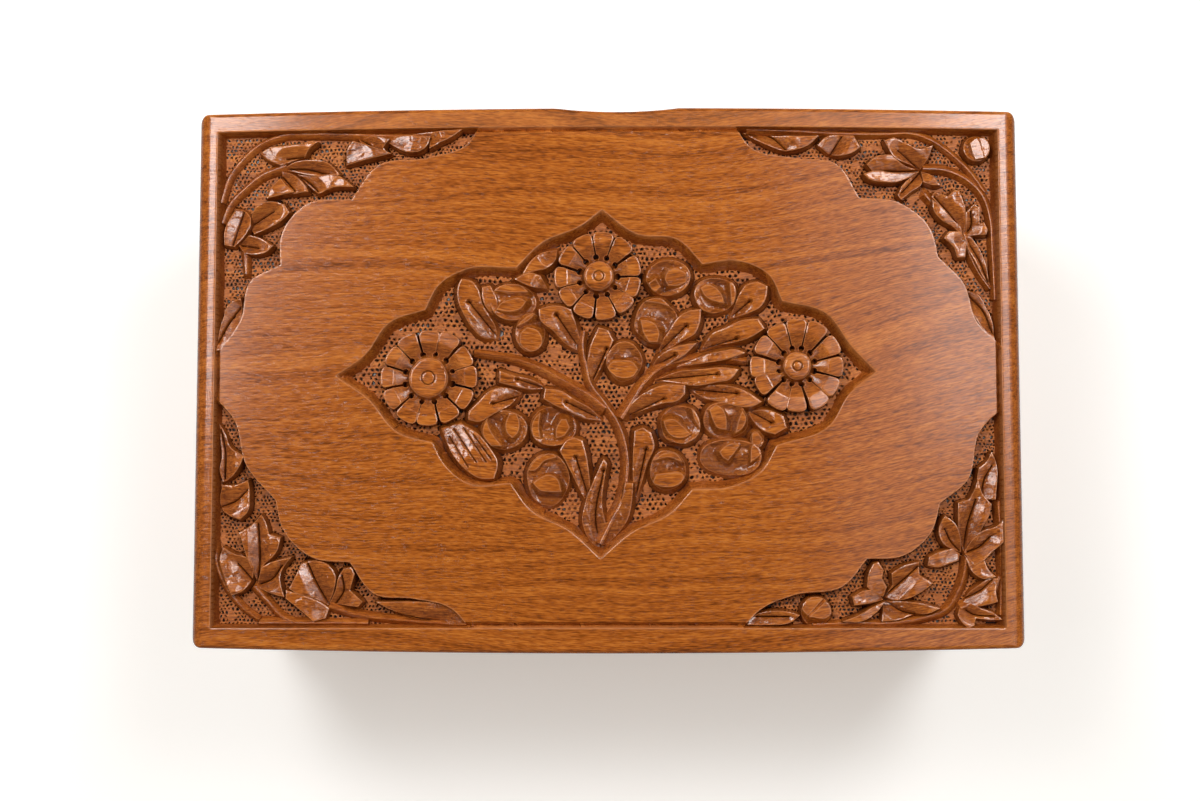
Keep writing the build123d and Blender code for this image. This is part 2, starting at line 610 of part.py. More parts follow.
with BuildPart() as lid_panel:
    with BuildSketch(Plane.XY.offset(PANEL_Z)) as panel_outline:
        with BuildLine():
            half_length = LID_LENGTH / 2
            half_depth = LID_DEPTH / 2
            Line((half_length, -half_depth), (half_length, half_depth))
            bowed_y = half_depth + EDGE_BOW
            ThreePointArc((half_length, half_depth), (0, bowed_y), (-half_length, half_depth))
            Line((-half_length, half_depth), (-half_length, -half_depth))
            ThreePointArc((-half_length, -half_depth), (0, -bowed_y), (half_length, -half_depth))
        make_face()
        fillet(panel_outline.vertices(), CORNER_RADIUS)
    extrude(amount=PANEL_THICKNESS)
    top_face = lid_panel.faces().filter_by(Axis.Z).sort_by(Axis.Z)[-1]
    fillet(top_face.edges(), LONG_EDGE_ROUND)

    # The ends, rounded over further.
    with BuildSketch(Plane.XZ.offset(-LID_DEPTH)):
        for side in (-1, 1):
            with BuildLine():
                flat_x = side * (LID_LENGTH / 2 - END_ROUND_WIDTH)
                end_x = side * LID_LENGTH / 2
                low_z = TOP_Z - END_ROUND_DROP
                mid_x = flat_x + side * END_ROUND_WIDTH * sin(pi / 4)
                mid_z = low_z + END_ROUND_DROP * cos(pi / 4)
                Spline(
                    (flat_x, TOP_Z),
                    (mid_x, mid_z),
                    (end_x, low_z),
                    tangents=[(side, 0), (0, -1)],
                )
                Polyline((end_x, low_z), (end_x, TOP_Z), (flat_x, TOP_Z))
            make_face()
    extrude(amount=2 * LID_DEPTH, mode=Mode.SUBTRACT)

    # The thumb scoop: a wide round cutter that leans inwards on its way down.
    scoop_radius = ((SCOOP_WIDTH / 2) ** 2 + SCOOP_TOP_DEPTH**2) / (2 * SCOOP_TOP_DEPTH)
    scoop_y = -(LID_DEPTH / 2 + EDGE_BOW - SCOOP_TOP_DEPTH) - scoop_radius
    lean = atan2(SCOOP_BOTTOM_DEPTH - SCOOP_TOP_DEPTH, PANEL_THICKNESS)
    with Locations(Pos(SCOOP_SHIFT, scoop_y, TOP_Z) * Rot(degrees(lean), 0, 0)):
        Cylinder(scoop_radius, 3 * PANEL_THICKNESS, mode=Mode.SUBTRACT)

    # Rim groove, sunk corners and medallion.
    with BuildSketch(CARVER):
        add(recess_sketch.sketch)
        offset(recess_sketch.sketch, amount=-GROOVE_WIDTH, mode=Mode.SUBTRACT)
    extrude(amount=-GROOVE_DEPTH, mode=Mode.SUBTRACT)
    with BuildSketch(CARVER):
        add(corner_sketch.sketch)
    extrude(amount=-GROUND_DEPTH, mode=Mode.SUBTRACT)
    medallion_faces = [medallion_face(CARVER, 0), medallion_face(GROUND, WALL_RUN)]
    loft(medallion_faces, ruled=True, mode=Mode.SUBTRACT)

    # What stands on the sunk ground.
    for middle, disc_radius, outer_radius, petals in ROSETTES:
        head = rosette(disc_radius * PATTERN_UNIT, outer_radius * PATTERN_UNIT, petals)
        with Locations(GROUND.location * Pos(*pattern([middle])[0])):
            add(head)
    with BuildSketch(GROUND):
        for stem in STEMS:
            with BuildLine() as path:
                Spline(*pattern(stem))
            trace(path.line, STEM_WIDTH)
    extrude(amount=GROUND_DEPTH - STEM_TOP)
    with BuildSketch(GROUND):
        for root, tip, width in LEAVES:
            add(leaf_outline(*pattern([root, tip]), width))
        for u_side, v_side, _, leaves in CORNERS:
            for root, tip, width in leaves:
                add(leaf_outline(*from_corner([root, tip], u_side, v_side), width))
    extrude(amount=GROUND_DEPTH - LEAF_TOP)
    for middle, radius in BUDS:
        with BuildSketch(GROUND):
            with Locations(*pattern([middle])):
                Circle(radius * PATTERN_UNIT)
        extrude(amount=GROUND_DEPTH - BUD_TOP, taper=BUD_TAPER)

# ---------------------------------------------------------------- write every piece
os.makedirs("parts", exist_ok=True)
finish(base_felt.part, "base_felt")
finish(base_board.part, "base_board")
finish(base_screws.part, "base_screws")
finish(floor_lining.part, "floor_lining")
finish(front_wall.part, "front_wall")
finish(rear_wall.part, "rear_wall")
finish(left_wall, "left_wall")
finish(right_wall, "right_wall")
finish(lid_front_rail.part, "lid_front_rail")
finish(lid_rear_rail.part, "lid_rear_rail")
finish(lid_left_rail, "lid_left_rail")
finish(lid_right_rail, "lid_right_rail")
finish(lid_panel.part, "lid_panel")
for hinge_side, hinge_x in HINGES.items():
    finish(hinge_leaf(hinge_x, down=True), f"hinge_{hinge_side}_box_leaf")
    finish(hinge_leaf(hinge_x, down=False), f"hinge_{hinge_side}_lid_leaf")
    finish(hinge_pin(hinge_x), f"hinge_{hinge_side}_pin")
finish(hinge_screws(down=True), "hinge_box_screws")
finish(hinge_screws(down=False), "hinge_lid_screws")
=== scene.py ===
# %% [markdown]
# # A carved keepsake box
# A low walnut box with a hinged lid. The sides are plain, and all the work is in the lid: a thick board
# with a medallion of flowers and four leafy corners cut 4 mm into it. The solids come from the frame, and
# this script dresses them: it carves the lid, pads the floor, and gives each wood, metal and cloth its
# finish.

# %% The frame
from math import cos, pi, radians, sin

import bpy
import numpy as np
from mathutils import Euler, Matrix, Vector
from mathutils.geometry import delaunay_2d_cdt
from mathutils.kdtree import KDTree


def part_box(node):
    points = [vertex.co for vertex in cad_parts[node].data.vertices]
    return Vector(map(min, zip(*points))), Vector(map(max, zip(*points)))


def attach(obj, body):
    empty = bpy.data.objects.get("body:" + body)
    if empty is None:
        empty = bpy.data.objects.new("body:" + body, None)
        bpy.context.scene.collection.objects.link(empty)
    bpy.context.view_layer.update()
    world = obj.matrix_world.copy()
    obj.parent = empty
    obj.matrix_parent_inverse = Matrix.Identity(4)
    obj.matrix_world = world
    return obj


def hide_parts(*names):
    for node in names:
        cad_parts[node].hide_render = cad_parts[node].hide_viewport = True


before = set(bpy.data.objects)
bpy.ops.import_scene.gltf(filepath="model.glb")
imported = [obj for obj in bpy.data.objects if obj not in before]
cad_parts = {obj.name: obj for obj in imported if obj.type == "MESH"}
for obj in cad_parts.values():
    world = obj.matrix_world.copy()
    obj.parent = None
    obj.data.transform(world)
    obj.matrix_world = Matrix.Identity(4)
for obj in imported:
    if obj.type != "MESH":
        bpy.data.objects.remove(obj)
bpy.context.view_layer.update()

MM = 0.001  # a millimetre in metres, which is what Blender's objects are in
board_low, board_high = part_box("lid_panel")
BOARD_TOP = 1000 * board_high.z

# %% [markdown]
# ## The eye
# The box is seen from straight above, from about half a metre over the lid and a little towards its hinges,
# with the front edge at the top of the view. The camera is turned half round for that, and leans by a
# few degrees.

# %% Camera
scene = bpy.context.scene
scene.view_settings.view_transform = "Standard"
camera = bpy.data.objects.new("camera", bpy.data.cameras.new("camera"))
camera.data.lens = 50.55
camera.location = (-0.00455, 0.04519, 0.61508)
camera.rotation_euler = Euler((radians(4.2236), radians(0.7443), radians(180 - 0.0379)))
scene.collection.objects.link(camera)
scene.camera = camera
print("the camera is", round(camera.location.z - board_high.z, 3), "m above the lid")

# %% [markdown]
# ## Adding nodes
# Materials, the surroundings and the geometry trees are all made of nodes, so one small function adds any
# of them. It sets what the node is set to and joins or fills its inputs. An input goes by its name, or by
# its number where a node has several of one name. A Map Range turns what lies between its inputs 1 and 2
# into what lies between 3 and 4, which are 0 and 1 unless they are given. Colours are written as sRGB hex,
# as a paint chart gives them, and one function turns them to the linear values that light is worked out in.

# %% Node and colour helpers
def add(tree, kind, inputs=(), **settings):
    """A node of this kind. Inputs are (name or number, value or socket or node) pairs."""
    node = tree.nodes.new(kind)
    for name, value in settings.items():
        setattr(node, name, value)
    for key, value in inputs:
        if isinstance(value, bpy.types.Node):
            value = value.outputs[0]
        if isinstance(value, bpy.types.NodeSocket):
            tree.links.new(value, node.inputs[key])
        else:
            node.inputs[key].default_value = value
    return node


def new_material(name):
    """A material and its empty tree."""
    material = bpy.data.materials.new(name)
    material.use_nodes = True
    material.node_tree.nodes.clear()
    return material, material.node_tree


def linear(hex_colour):
    """An sRGB hex colour as linear red, green, blue and 1."""
    parts = [int(hex_colour[i : i + 2], 16) / 255 for i in (1, 3, 5)]
    return [p / 12.92 if p <= 0.04045 else ((p + 0.055) / 1.055) ** 2.4 for p in parts] + [1.0]


print("walnut brown is", [round(c, 3) for c in linear("#a85a28")])

# %% [markdown]
# ## Studio light
# Two lamps beyond the front edge light the wood, so the cuts that face them are bright and the far ones
# dark, and two soft boxes at the sides fill them in. None of the four leaves a glare. The whitish sheen on
# the wax comes from flat strips overhead and a wide, faint panel, which light nothing themselves. Straight
# above, the room is dark, and that keeps the middle of the lid deep in colour.

# %% Surroundings
ROOM_LEVEL, OVERHEAD_LEVEL = 0.19, 0.04
DARK_CONE = (0.93, 0.985)  # how steeply a direction points up where the dark patch starts and is full

world = bpy.data.worlds.new("studio")
scene.world = world
world.use_nodes = True
sky = world.node_tree
sky.nodes.clear()
direction = add(sky, "ShaderNodeTexCoord")
upward = add(sky, "ShaderNodeSeparateXYZ", [(0, direction.outputs["Generated"])])
level = add(sky, "ShaderNodeMapRange",
            [(0, upward.outputs["Z"]), (1, DARK_CONE[0]), (2, DARK_CONE[1]),
             (3, ROOM_LEVEL), (4, OVERHEAD_LEVEL)])
room = add(sky, "ShaderNodeBackground", [(0, linear("#fffdfa")), (1, level)])
add(sky, "ShaderNodeOutputWorld", [(0, room)])
print("the room's level is", ROOM_LEVEL, "and", OVERHEAD_LEVEL, "overhead")

# %% Lamps
LOOKED_AT = Vector((0, 0, 0.1))
WOOD_LAMPS = [  # name, place, size and watts: they light the wood and the floor but leave no glare on the wax
    ("left_key", (0.36, -0.36, 0.80), (0.3, 0.4), 3.1),
    ("right_key", (-0.36, -0.36, 0.80), (0.3, 0.4), 3.1),
    ("left_box", (0.395, -0.10, 0.86), (0.5, 0.16), 1.35),
    ("right_box", (-0.365, -0.10, 0.86), (0.5, 0.16), 0.65),
]
STRIP_HEIGHT = 0.904
STRIPS = [  # name, two corners and brightness: only the wax and the metal show them
    ("left_sheen", (0.275, -0.42), (0.70, -0.20), 15.0),
    ("left_glare", (0.32, -0.20), (0.70, -0.05), 11.0),
    ("right_sheen", (-0.68, -0.42), (-0.26, -0.20), 15.0),
    ("right_glare", (-0.68, -0.20), (-0.24, -0.02), 4.6),
]
HAZE = ("haze", (-0.46, -0.06, 0.86), (0.9, 0.66), 2.6)


def soft_box(name, place, size, watts):
    """A rectangular lamp that looks at the lid."""
    lamp = bpy.data.lights.new(name, "AREA")
    lamp.shape = "RECTANGLE"
    lamp.size, lamp.size_y = size
    lamp.energy = watts
    holder = bpy.data.objects.new(name, lamp)
    holder.location = place
    holder.rotation_euler = (LOOKED_AT - Vector(place)).to_track_quat("-Z", "Y").to_euler()
    scene.collection.objects.link(holder)
    return holder


for lamp in WOOD_LAMPS:
    soft_box(*lamp).visible_glossy = False
for name, low, high, brightness in STRIPS:
    size = (high[0] - low[0], high[1] - low[1])
    middle = ((low[0] + high[0]) / 2, (low[1] + high[1]) / 2, STRIP_HEIGHT)
    strip = soft_box(name, middle, size, brightness * pi * size[0] * size[1])
    strip.rotation_euler = (0, 0, 0)  # level
    strip.visible_diffuse = False
soft_box(*HAZE).visible_diffuse = False

# %% [markdown]
# ## Floor
# A plain pale board to stand on, larger than any view needs. What sees it directly or in a reflection sees
# it a little brighter than the lamps make it, so it is white and still keeps its soft shadow.

# %% Floor
FLOOR_REACH = 3  # metres from the middle to each side
FLOOR_LIFT = 0.385

white_laminate, tree = new_material("white_laminate")  # even and matt
rays = add(tree, "ShaderNodeLightPath")
seen = rays.outputs["Is Camera Ray"]
for ray in ("Is Glossy Ray", "Is Transmission Ray"):
    seen = add(tree, "ShaderNodeMath", [(0, seen), (1, rays.outputs[ray])], operation="MAXIMUM")
lift = add(tree, "ShaderNodeMath", [(0, seen), (1, FLOOR_LIFT)], operation="MULTIPLY")
surface = add(tree, "ShaderNodeBsdfPrincipled",
              [("Base Color", linear("#f6f6f5")), ("Roughness", 0.7),
               ("Emission Color", linear("#fff7ec")), ("Emission Strength", lift)])
add(tree, "ShaderNodeOutputMaterial", [(0, surface)])

floor_mesh = bpy.data.meshes.new("floor")
corners = [(u * FLOOR_REACH, v * FLOOR_REACH, 0) for u, v in ((-1, -1), (1, -1), (1, 1), (-1, 1))]
floor_mesh.from_pydata(corners, [], [(0, 1, 2, 3)])
floor_mesh.materials.append(white_laminate)
floor = bpy.data.objects.new("floor", floor_mesh)
scene.collection.objects.link(floor)

# %% [markdown]
# ## Walnut
# The box is one kind of walnut, oiled and waxed. What the eye reads as wood is a few things, each with a
# real size: growth rings that pass right through the board, 3 to 8 mm apart, fine fibres along it, pores
# that show as short dark dashes, and slow patches of lighter and darker wood. A solid pattern on Object
# coordinates cuts through a carved surface as real grain does, so no unwrapping is needed.

# %% Colours of the wood
WOOD_LIGHT, WOOD_MID, WOOD_DARK = "#c6742b", "#a8581b", "#6c340c"
PORE_BROWN, END_BROWN = "#5e2a0f", "#4a2310"
# patina of the hollows; painted shade, near black, for the deepest holes; painted shade, dark brown, for
# narrow cuts, veins and the feet of forms; and a paler tone for edges, partly from handling and partly a
# painted highlight
PATINA, PIT_SHADE_BLACK, CREVICE_SHADE_BROWN, RUB_AND_HIGHLIGHT = "#86401a", "#120400", "#2a0d03", "#cf8c5c"
print("walnut runs from", WOOD_DARK, "to", WOOD_LIGHT)


# %% How the fibres run
def streaks(tree, spot, per_mm, **settings):
    """Noise stretched along the fibres: so many of its features pass in a mm along, across and up."""
    stretched = add(tree, "ShaderNodeMapping", [(0, spot), (3, per_mm)])
    return add(tree, "ShaderNodeTexNoise", [(0, stretched), ("Scale", 1.0), *settings.items()])


def bent_fibres(tree, straight):
    """Places in mm, moved aside as the fibres wave, and as they sweep aside towards one end of the board."""
    parts = add(tree, "ShaderNodeSeparateXYZ", [(0, straight)])
    towards = add(tree, "ShaderNodeMapRange", [(0, parts.outputs["X"]), (1, -10.0), (2, -127.0)])
    sweep = add(tree, "ShaderNodeMath", [(0, towards), (1, 2.0)], operation="POWER")
    wave = streaks(tree, straight, (0.009, 0.013, 0.013), Detail=1.0)
    wavy = add(tree, "ShaderNodeMath", [(0, wave), (1, 22.0), (2, -11.0)], operation="MULTIPLY_ADD")
    aside = add(tree, "ShaderNodeMath", [(0, sweep), (1, 15.0), (2, wavy)], operation="MULTIPLY_ADD")
    moved = add(tree, "ShaderNodeCombineXYZ", [(1, aside)])
    return add(tree, "ShaderNodeVectorMath", [(0, straight), (1, moved)], operation="ADD")


# %% Rings, fibres, pores and patches
def grain(tree, in_mm, pith, ring):
    """The wood's tone, its fibres and the share of its pores."""
    # Rings: how far from the pith, bent a little by a slow noise.
    bend = streaks(tree, in_mm, (0.006, 0.03, 0.03), Detail=2.0)
    centred = add(tree, "ShaderNodeMapping", [(0, in_mm), (1, [-p for p in pith]), (3, (0.0, 1, 1))])
    radius = add(tree, "ShaderNodeVectorMath", [(0, centred)], operation="LENGTH").outputs["Value"]
    bent = add(tree, "ShaderNodeMath", [(0, bend), (1, 26.0), (2, radius)], operation="MULTIPLY_ADD")
    rings = add(tree, "ShaderNodeTexNoise",
                [("W", bent), ("Scale", 1 / ring), ("Detail", 4.0), ("Roughness", 0.62)],
                noise_dimensions="1D")
    ring_tone = add(tree, "ShaderNodeMapRange", [(0, rings), (1, 0.30), (2, 0.72)])
    # Fibres 10 mm long and 0.8 mm wide, and hairs half as wide. Real ones are finer: these are as coarse as
    # they need to show, and so are the pores, dashes 3 mm long and 0.2 mm wide.
    fibres = streaks(tree, in_mm, (0.10, 1.3, 1.3), Detail=3.0, Roughness=0.6)
    hairs = streaks(tree, in_mm, (0.32, 2.3, 2.3), Detail=1.0, Roughness=0.6)
    dashes = streaks(tree, in_mm, (0.33, 4.2, 4.2), Detail=2.0, Roughness=0.6)
    pore = add(tree, "ShaderNodeMapRange", [(0, dashes), (1, 0.40), (2, 0.30)])
    # Patches: clouds 40 to 80 mm across.
    patches = streaks(tree, in_mm, (0.012, 0.022, 0.022), Detail=2.0)
    strands = add(tree, "ShaderNodeMix", [("Factor", 0.6), (2, fibres), (3, hairs)])
    spread = add(tree, "ShaderNodeMapRange", [(0, strands), (1, 0.38), (2, 0.62)])
    both = add(tree, "ShaderNodeMix", [("Factor", 0.58), (2, ring_tone), (3, spread)])
    tone = add(tree, "ShaderNodeMix", [("Factor", 0.22), (2, both), (3, patches)])
    return tone, fibres, pore


# %% [markdown]
# ## Cuts, patina, painted shade and paler edges
# Cut surfaces are older and darker than the polished top: dirt and wax gather low down, so the share of that
# patina follows the depth below the top of the lid. The deepest places, in the punch marks, the drilled holes
# and at the feet of forms, are painted near black as painted shade. A cut surface is also mottled by the
# tool,
# in streaks about a millimetre apart that swirl as the gouge turned. A piece's own attribute does the rest:
# above 0 an edge is a little paler, partly from hands rubbing it and partly as a painted highlight, and below
# 0 a narrow cut, a vein or the foot of a form is painted dark as painted shade.

# %% What carving adds to the wood
PATINA_DEPTH, PIT_DEPTH, TOOLED_DEPTH = (0.6, 3.6), (4.08, 4.4), (0.45, 1.0)  # start and full, in mm
CUT_HALVES = {"X": 121.8, "Y": 78.8}  # the board's own edge lies beyond these and is no cut
BELOW_CUTS = (6.2, 6.6)  # and its underside lies below this


def carving(tree, straight, in_mm, aged):
    """The layers of colour on carved wood, as (share, colour) pairs, and the height of its tool marks."""
    parts = add(tree, "ShaderNodeSeparateXYZ", [(0, straight)])
    depth = add(tree, "ShaderNodeMath", [(0, BOARD_TOP), (1, parts.outputs["Z"])], operation="SUBTRACT")
    cut = add(tree, "ShaderNodeMapRange",
              [(0, depth), (1, BELOW_CUTS[0]), (2, BELOW_CUTS[1]), (3, 1.0), (4, 0.0)])
    for axis, half in CUT_HALVES.items():
        away = add(tree, "ShaderNodeMath", [(0, parts.outputs[axis])], operation="ABSOLUTE")
        within = add(tree, "ShaderNodeMath", [(0, away), (1, half)], operation="LESS_THAN")
        cut = add(tree, "ShaderNodeMath", [(0, cut), (1, within)], operation="MULTIPLY")
    shares = []
    # patina in the hollows, then painted shade that turns the deepest holes near black, then the tool's
    # mottling
    for (start, full), most in ((PATINA_DEPTH, aged), (PIT_DEPTH, 1.0), (TOOLED_DEPTH, 1.0)):
        deep = add(tree, "ShaderNodeMapRange", [(0, depth), (1, start), (2, full), (4, most)])
        shares.append(add(tree, "ShaderNodeMath", [(0, deep), (1, cut)], operation="MULTIPLY"))
    old, pit_shade, tooled = shares
    marks = add(tree, "ShaderNodeTexNoise",
                [(0, in_mm), ("Scale", 0.85), ("Detail", 4.0), ("Roughness", 0.65), ("Distortion", 1.4)])
    mark = add(tree, "ShaderNodeMapRange", [(0, marks), (1, 0.48), (2, 0.64), (4, 0.08 + 0.55 * aged)])
    marked = add(tree, "ShaderNodeMath", [(0, mark), (1, tooled)], operation="MULTIPLY")
    raised = add(tree, "ShaderNodeMath", [(0, marks), (1, tooled)], operation="MULTIPLY")
    wear_and_shading = add(tree, "ShaderNodeAttribute", attribute_name="wear_and_shading").outputs["Fac"]
    # below 0 the wood is painted dark as painted shade, in narrow cuts, veins, low slopes and at the feet of
    # forms; above 0 it is paler, partly from handling and partly as painted light
    crevice_shade = add(tree, "ShaderNodeMapRange", [(0, wear_and_shading), (1, 0.0), (2, -1.0), (4, 0.9)])
    rub_and_shading = add(tree, "ShaderNodeMapRange", [(0, wear_and_shading), (1, 0.0), (2, 1.0), (4, 0.55)])
    return [(old, PATINA), (pit_shade, PIT_SHADE_BLACK), (marked, END_BROWN), (crevice_shade, CREVICE_SHADE_BROWN), (rub_and_shading, RUB_AND_HIGHLIGHT)], raised


# %% Walnut as a function of where the board came from
MARK_RELIEF, PORE_RELIEF = 2.4, -0.6  # against the fibres' own relief


def walnut(name, along="X", pith=(0, -260, -60), ring=3.2, shine=0.13, wax=0.4, aged=None):
    """Oiled walnut whose fibres run along X or Y. Pith is the tree's middle, in mm, across the fibres.

    Aged is for carved wood, and says how much of the patina its deepest cuts have."""
    wood, tree = new_material(name)
    coordinates = add(tree, "ShaderNodeTexCoord")
    turn = (0, 0, 0) if along == "X" else (0, 0, -pi / 2)
    straight = add(tree, "ShaderNodeMapping",
                   [(0, coordinates.outputs["Object"]), (2, turn), (3, (1000, 1000, 1000))])
    in_mm = bent_fibres(tree, straight)
    tone, fibres, pore = grain(tree, in_mm, pith, ring)
    colour = add(tree, "ShaderNodeValToRGB", [(0, tone)])
    stops = colour.color_ramp.elements
    stops[0].position, stops[0].color = 0.16, linear(WOOD_DARK)
    stops[1].position, stops[1].color = 0.80, linear(WOOD_LIGHT)
    stops.new(0.49).color = linear(WOOD_MID)
    # End grain: a face that cuts across the fibres soaks up more oil and is darker, as at the dovetails.
    facing = add(tree, "ShaderNodeSeparateXYZ", [(0, coordinates.outputs["Normal"])])
    across = add(tree, "ShaderNodeMath", [(0, facing.outputs[along])], operation="ABSOLUTE")
    end = add(tree, "ShaderNodeMapRange", [(0, across), (1, 0.55), (2, 0.95), (4, 0.6)])
    layers, height = [(pore, PORE_BROWN), (end, END_BROWN)], fibres
    if aged is not None:
        cut_layers, raised = carving(tree, straight, in_mm, aged)
        layers += cut_layers
        height = add(tree, "ShaderNodeMath", [(0, raised), (1, MARK_RELIEF), (2, fibres)],
                     operation="MULTIPLY_ADD")
    for share, brown in layers:
        mixed = add(tree, "ShaderNodeMix", [("Factor", share), (6, colour), (7, linear(brown))],
                    data_type="RGBA")
        colour = mixed.outputs[2]
    height = add(tree, "ShaderNodeMath", [(0, pore), (1, PORE_RELIEF), (2, height)], operation="MULTIPLY_ADD")
    relief = add(tree, "ShaderNodeBump", [("Height", height), ("Strength", 0.22), ("Distance", 0.12 * MM)])
    gloss = add(tree, "ShaderNodeMapRange",
                [(0, fibres), (1, 0.3), (2, 0.7), (3, shine - 0.02), (4, shine + 0.03)])
    surface = add(tree, "ShaderNodeBsdfPrincipled",
                  [("Base Color", colour), ("Roughness", gloss), ("Specular IOR Level", wax),
                   ("Normal", relief)])
    add(tree, "ShaderNodeOutputMaterial", [(0, surface)])
    return wood


lid_walnut = walnut("carved_walnut", aged=0.55)
cut_walnut = walnut("waxed_walnut", shine=0.15, wax=0.5, aged=0.4)  # wax lies thicker in the cuts
punched_walnut = walnut("punched_walnut", shine=0.5, wax=0.2, aged=0.05)  # never buffed
long_walnut = walnut("side_walnut_long", pith=(0, 150, -40), ring=5.5)
end_walnut = walnut("side_walnut_end", along="Y", pith=(0, -90, 160), ring=5.5)
base_walnut = walnut("base_walnut", pith=(0, -40, 120), ring=7.5, shine=0.45)
print("woods:", [m.name for m in bpy.data.materials if "walnut" in m.name])

# %% [markdown]
# ## Drawing the pattern
# A carver draws on the board, looking down on it with the front edge away from them. Places here are
# written the same way, in millimetres from the lid's middle: to the right, away, and up from the polished
# top, so cuts are negative. Outlines are a few places each, and a smooth line goes through them. It keeps a
# corner wherever the outline turns sharply, as a knife cut does.

# %% From a few places to a smooth line
CORNER_TURN = 55.0  # degrees, above which a place is a corner


def places(text):
    """'u,v u,v ...' as an array."""
    return np.array([[float(n) for n in pair.split(",")] for pair in text.split()]).reshape(-1, 2)


def smooth(points, step=0.45, closed=True, turn=CORNER_TURN):
    """A line through the points, in steps of about this many millimetres."""
    p = np.asarray(points, float)
    ahead = np.roll(p, -1, 0) - p
    behind = np.roll(ahead, 1, 0)
    far, near = np.linalg.norm(ahead, axis=1), np.linalg.norm(behind, axis=1)
    if not closed:
        behind[0], near[0], ahead[-1], far[-1] = ahead[0], far[0], behind[-1], near[-1]
    ahead, behind = ahead / far[:, None], behind / near[:, None]
    slant = ahead * near[:, None] + behind * far[:, None]
    slant /= np.maximum(np.linalg.norm(slant, axis=1), 1e-9)[:, None]
    sharp = (ahead * behind).sum(1) < cos(radians(turn))
    leave, arrive = np.where(sharp[:, None], ahead, slant), np.where(sharp[:, None], behind, slant)
    line = []
    for i in range(len(p) if closed else len(p) - 1):
        j, length = (i + 1) % len(p), far[i]
        steps = max(1, round(length / step))
        t = (np.arange(steps) / steps)[:, None]
        line.append(
            (2 * t**3 - 3 * t**2 + 1) * p[i]
            + (t**3 - 2 * t**2 + t) * length * leave[i]
            + (3 * t**2 - 2 * t**3) * p[j]
            + (t**3 - t**2) * length * arrive[j]
        )
    return np.vstack(line if closed else line + [p[-1:]])


def looped(line):
    """A closed line that ends on the place it starts from."""
    return np.vstack([line, line[:1]])


SQUARE = places("-1,-1 1,-1 1,1 -1,1")
print("a smooth line round a square of 2 mm has", len(smooth(SQUARE)), "places")

# %% Distances
MANY_PAIRS = 400000


def distance(points, line, closed=False):
    """How far each point is from a line of places."""
    a = np.asarray(line, float)
    b = np.roll(a, -1, 0) if closed else a[1:]
    a = a if closed else a[:-1]
    if len(points) * len(a) > MANY_PAIRS:  # then only the stretches next to the nearest places are looked at
        tree = KDTree(len(a))
        for n, (u, v) in enumerate((a + b) / 2):
            tree.insert((u, v, 0), n)
        tree.balance()
        near = np.array([[found[1] for found in tree.find_n((u, v, 0), 3)] for u, v in points])
        a, b = a[near], b[near]
    way = b - a
    off = points[:, None] - a
    t = np.clip((off * way).sum(-1) / np.maximum((way**2).sum(-1), 1e-12), 0, 1)
    return np.linalg.norm(off - t[..., None] * way, axis=-1).min(1)


def closest(points, others):
    """For each point, which of the others is nearest."""
    return np.array([((others - p) ** 2).sum(1).argmin() for p in points])


def nearness(gap, reach):
    """1 on a line, and falling to 0 at this distance from it."""
    return np.clip(1 - gap / reach, 0, 1)


def beside(line, reach, closed=True):
    """Places this far to the left of a line, without those that another stretch of it comes nearer to."""
    way = np.roll(line, -1, 0) - np.roll(line, 1, 0)
    if not closed:
        way[0], way[-1] = line[1] - line[0], line[-1] - line[-2]
    way /= np.maximum(np.linalg.norm(way, axis=1), 1e-9)[:, None]
    moved = line + reach * np.column_stack([-way[:, 1], way[:, 0]])
    return moved[distance(moved, line, closed) > abs(reach) * 0.97 - 1e-6]


print("the square's middle is", distance(np.zeros((1, 2)), SQUARE, True)[0], "mm from its sides")

# %% What is inside an outline
PAIRS_AT_ONCE = 2000000


def inside(points, outline):
    """Whether each point is inside a closed outline."""
    a, b = np.asarray(outline, float), np.roll(outline, -1, 0)
    result = np.zeros(len(points), bool)
    for part in np.array_split(np.arange(len(points)), max(1, len(points) * len(a) // PAIRS_AT_ONCE)):
        x, y = points[part, :1], points[part, 1:]
        crosses = (a[:, 1] > y) != (b[:, 1] > y)
        rise = np.where(np.abs(b[:, 1] - a[:, 1]) < 1e-12, 1e-12, b[:, 1] - a[:, 1])
        result[part] = (crosses & (x < (b[:, 0] - a[:, 0]) * (y - a[:, 1]) / rise + a[:, 0])).sum(1) % 2 == 1
    return result


def honeycomb(low, high, pitch):
    """Places in staggered rows over a rectangle."""
    rows = []
    for n, v in enumerate(np.arange(low[1], high[1], pitch * 0.866)):
        u = np.arange(low[0] + (n % 2) * pitch / 2, high[0], pitch)
        rows.append(np.column_stack([u, np.full(len(u), v)]))
    return np.vstack(rows)


print(inside(honeycomb((-2, -2), (2, 2), 0.5), SQUARE).sum(), "places of a honeycomb are in the square")

# %% Triangles between places
NO_PLACES = np.zeros((0, 2))


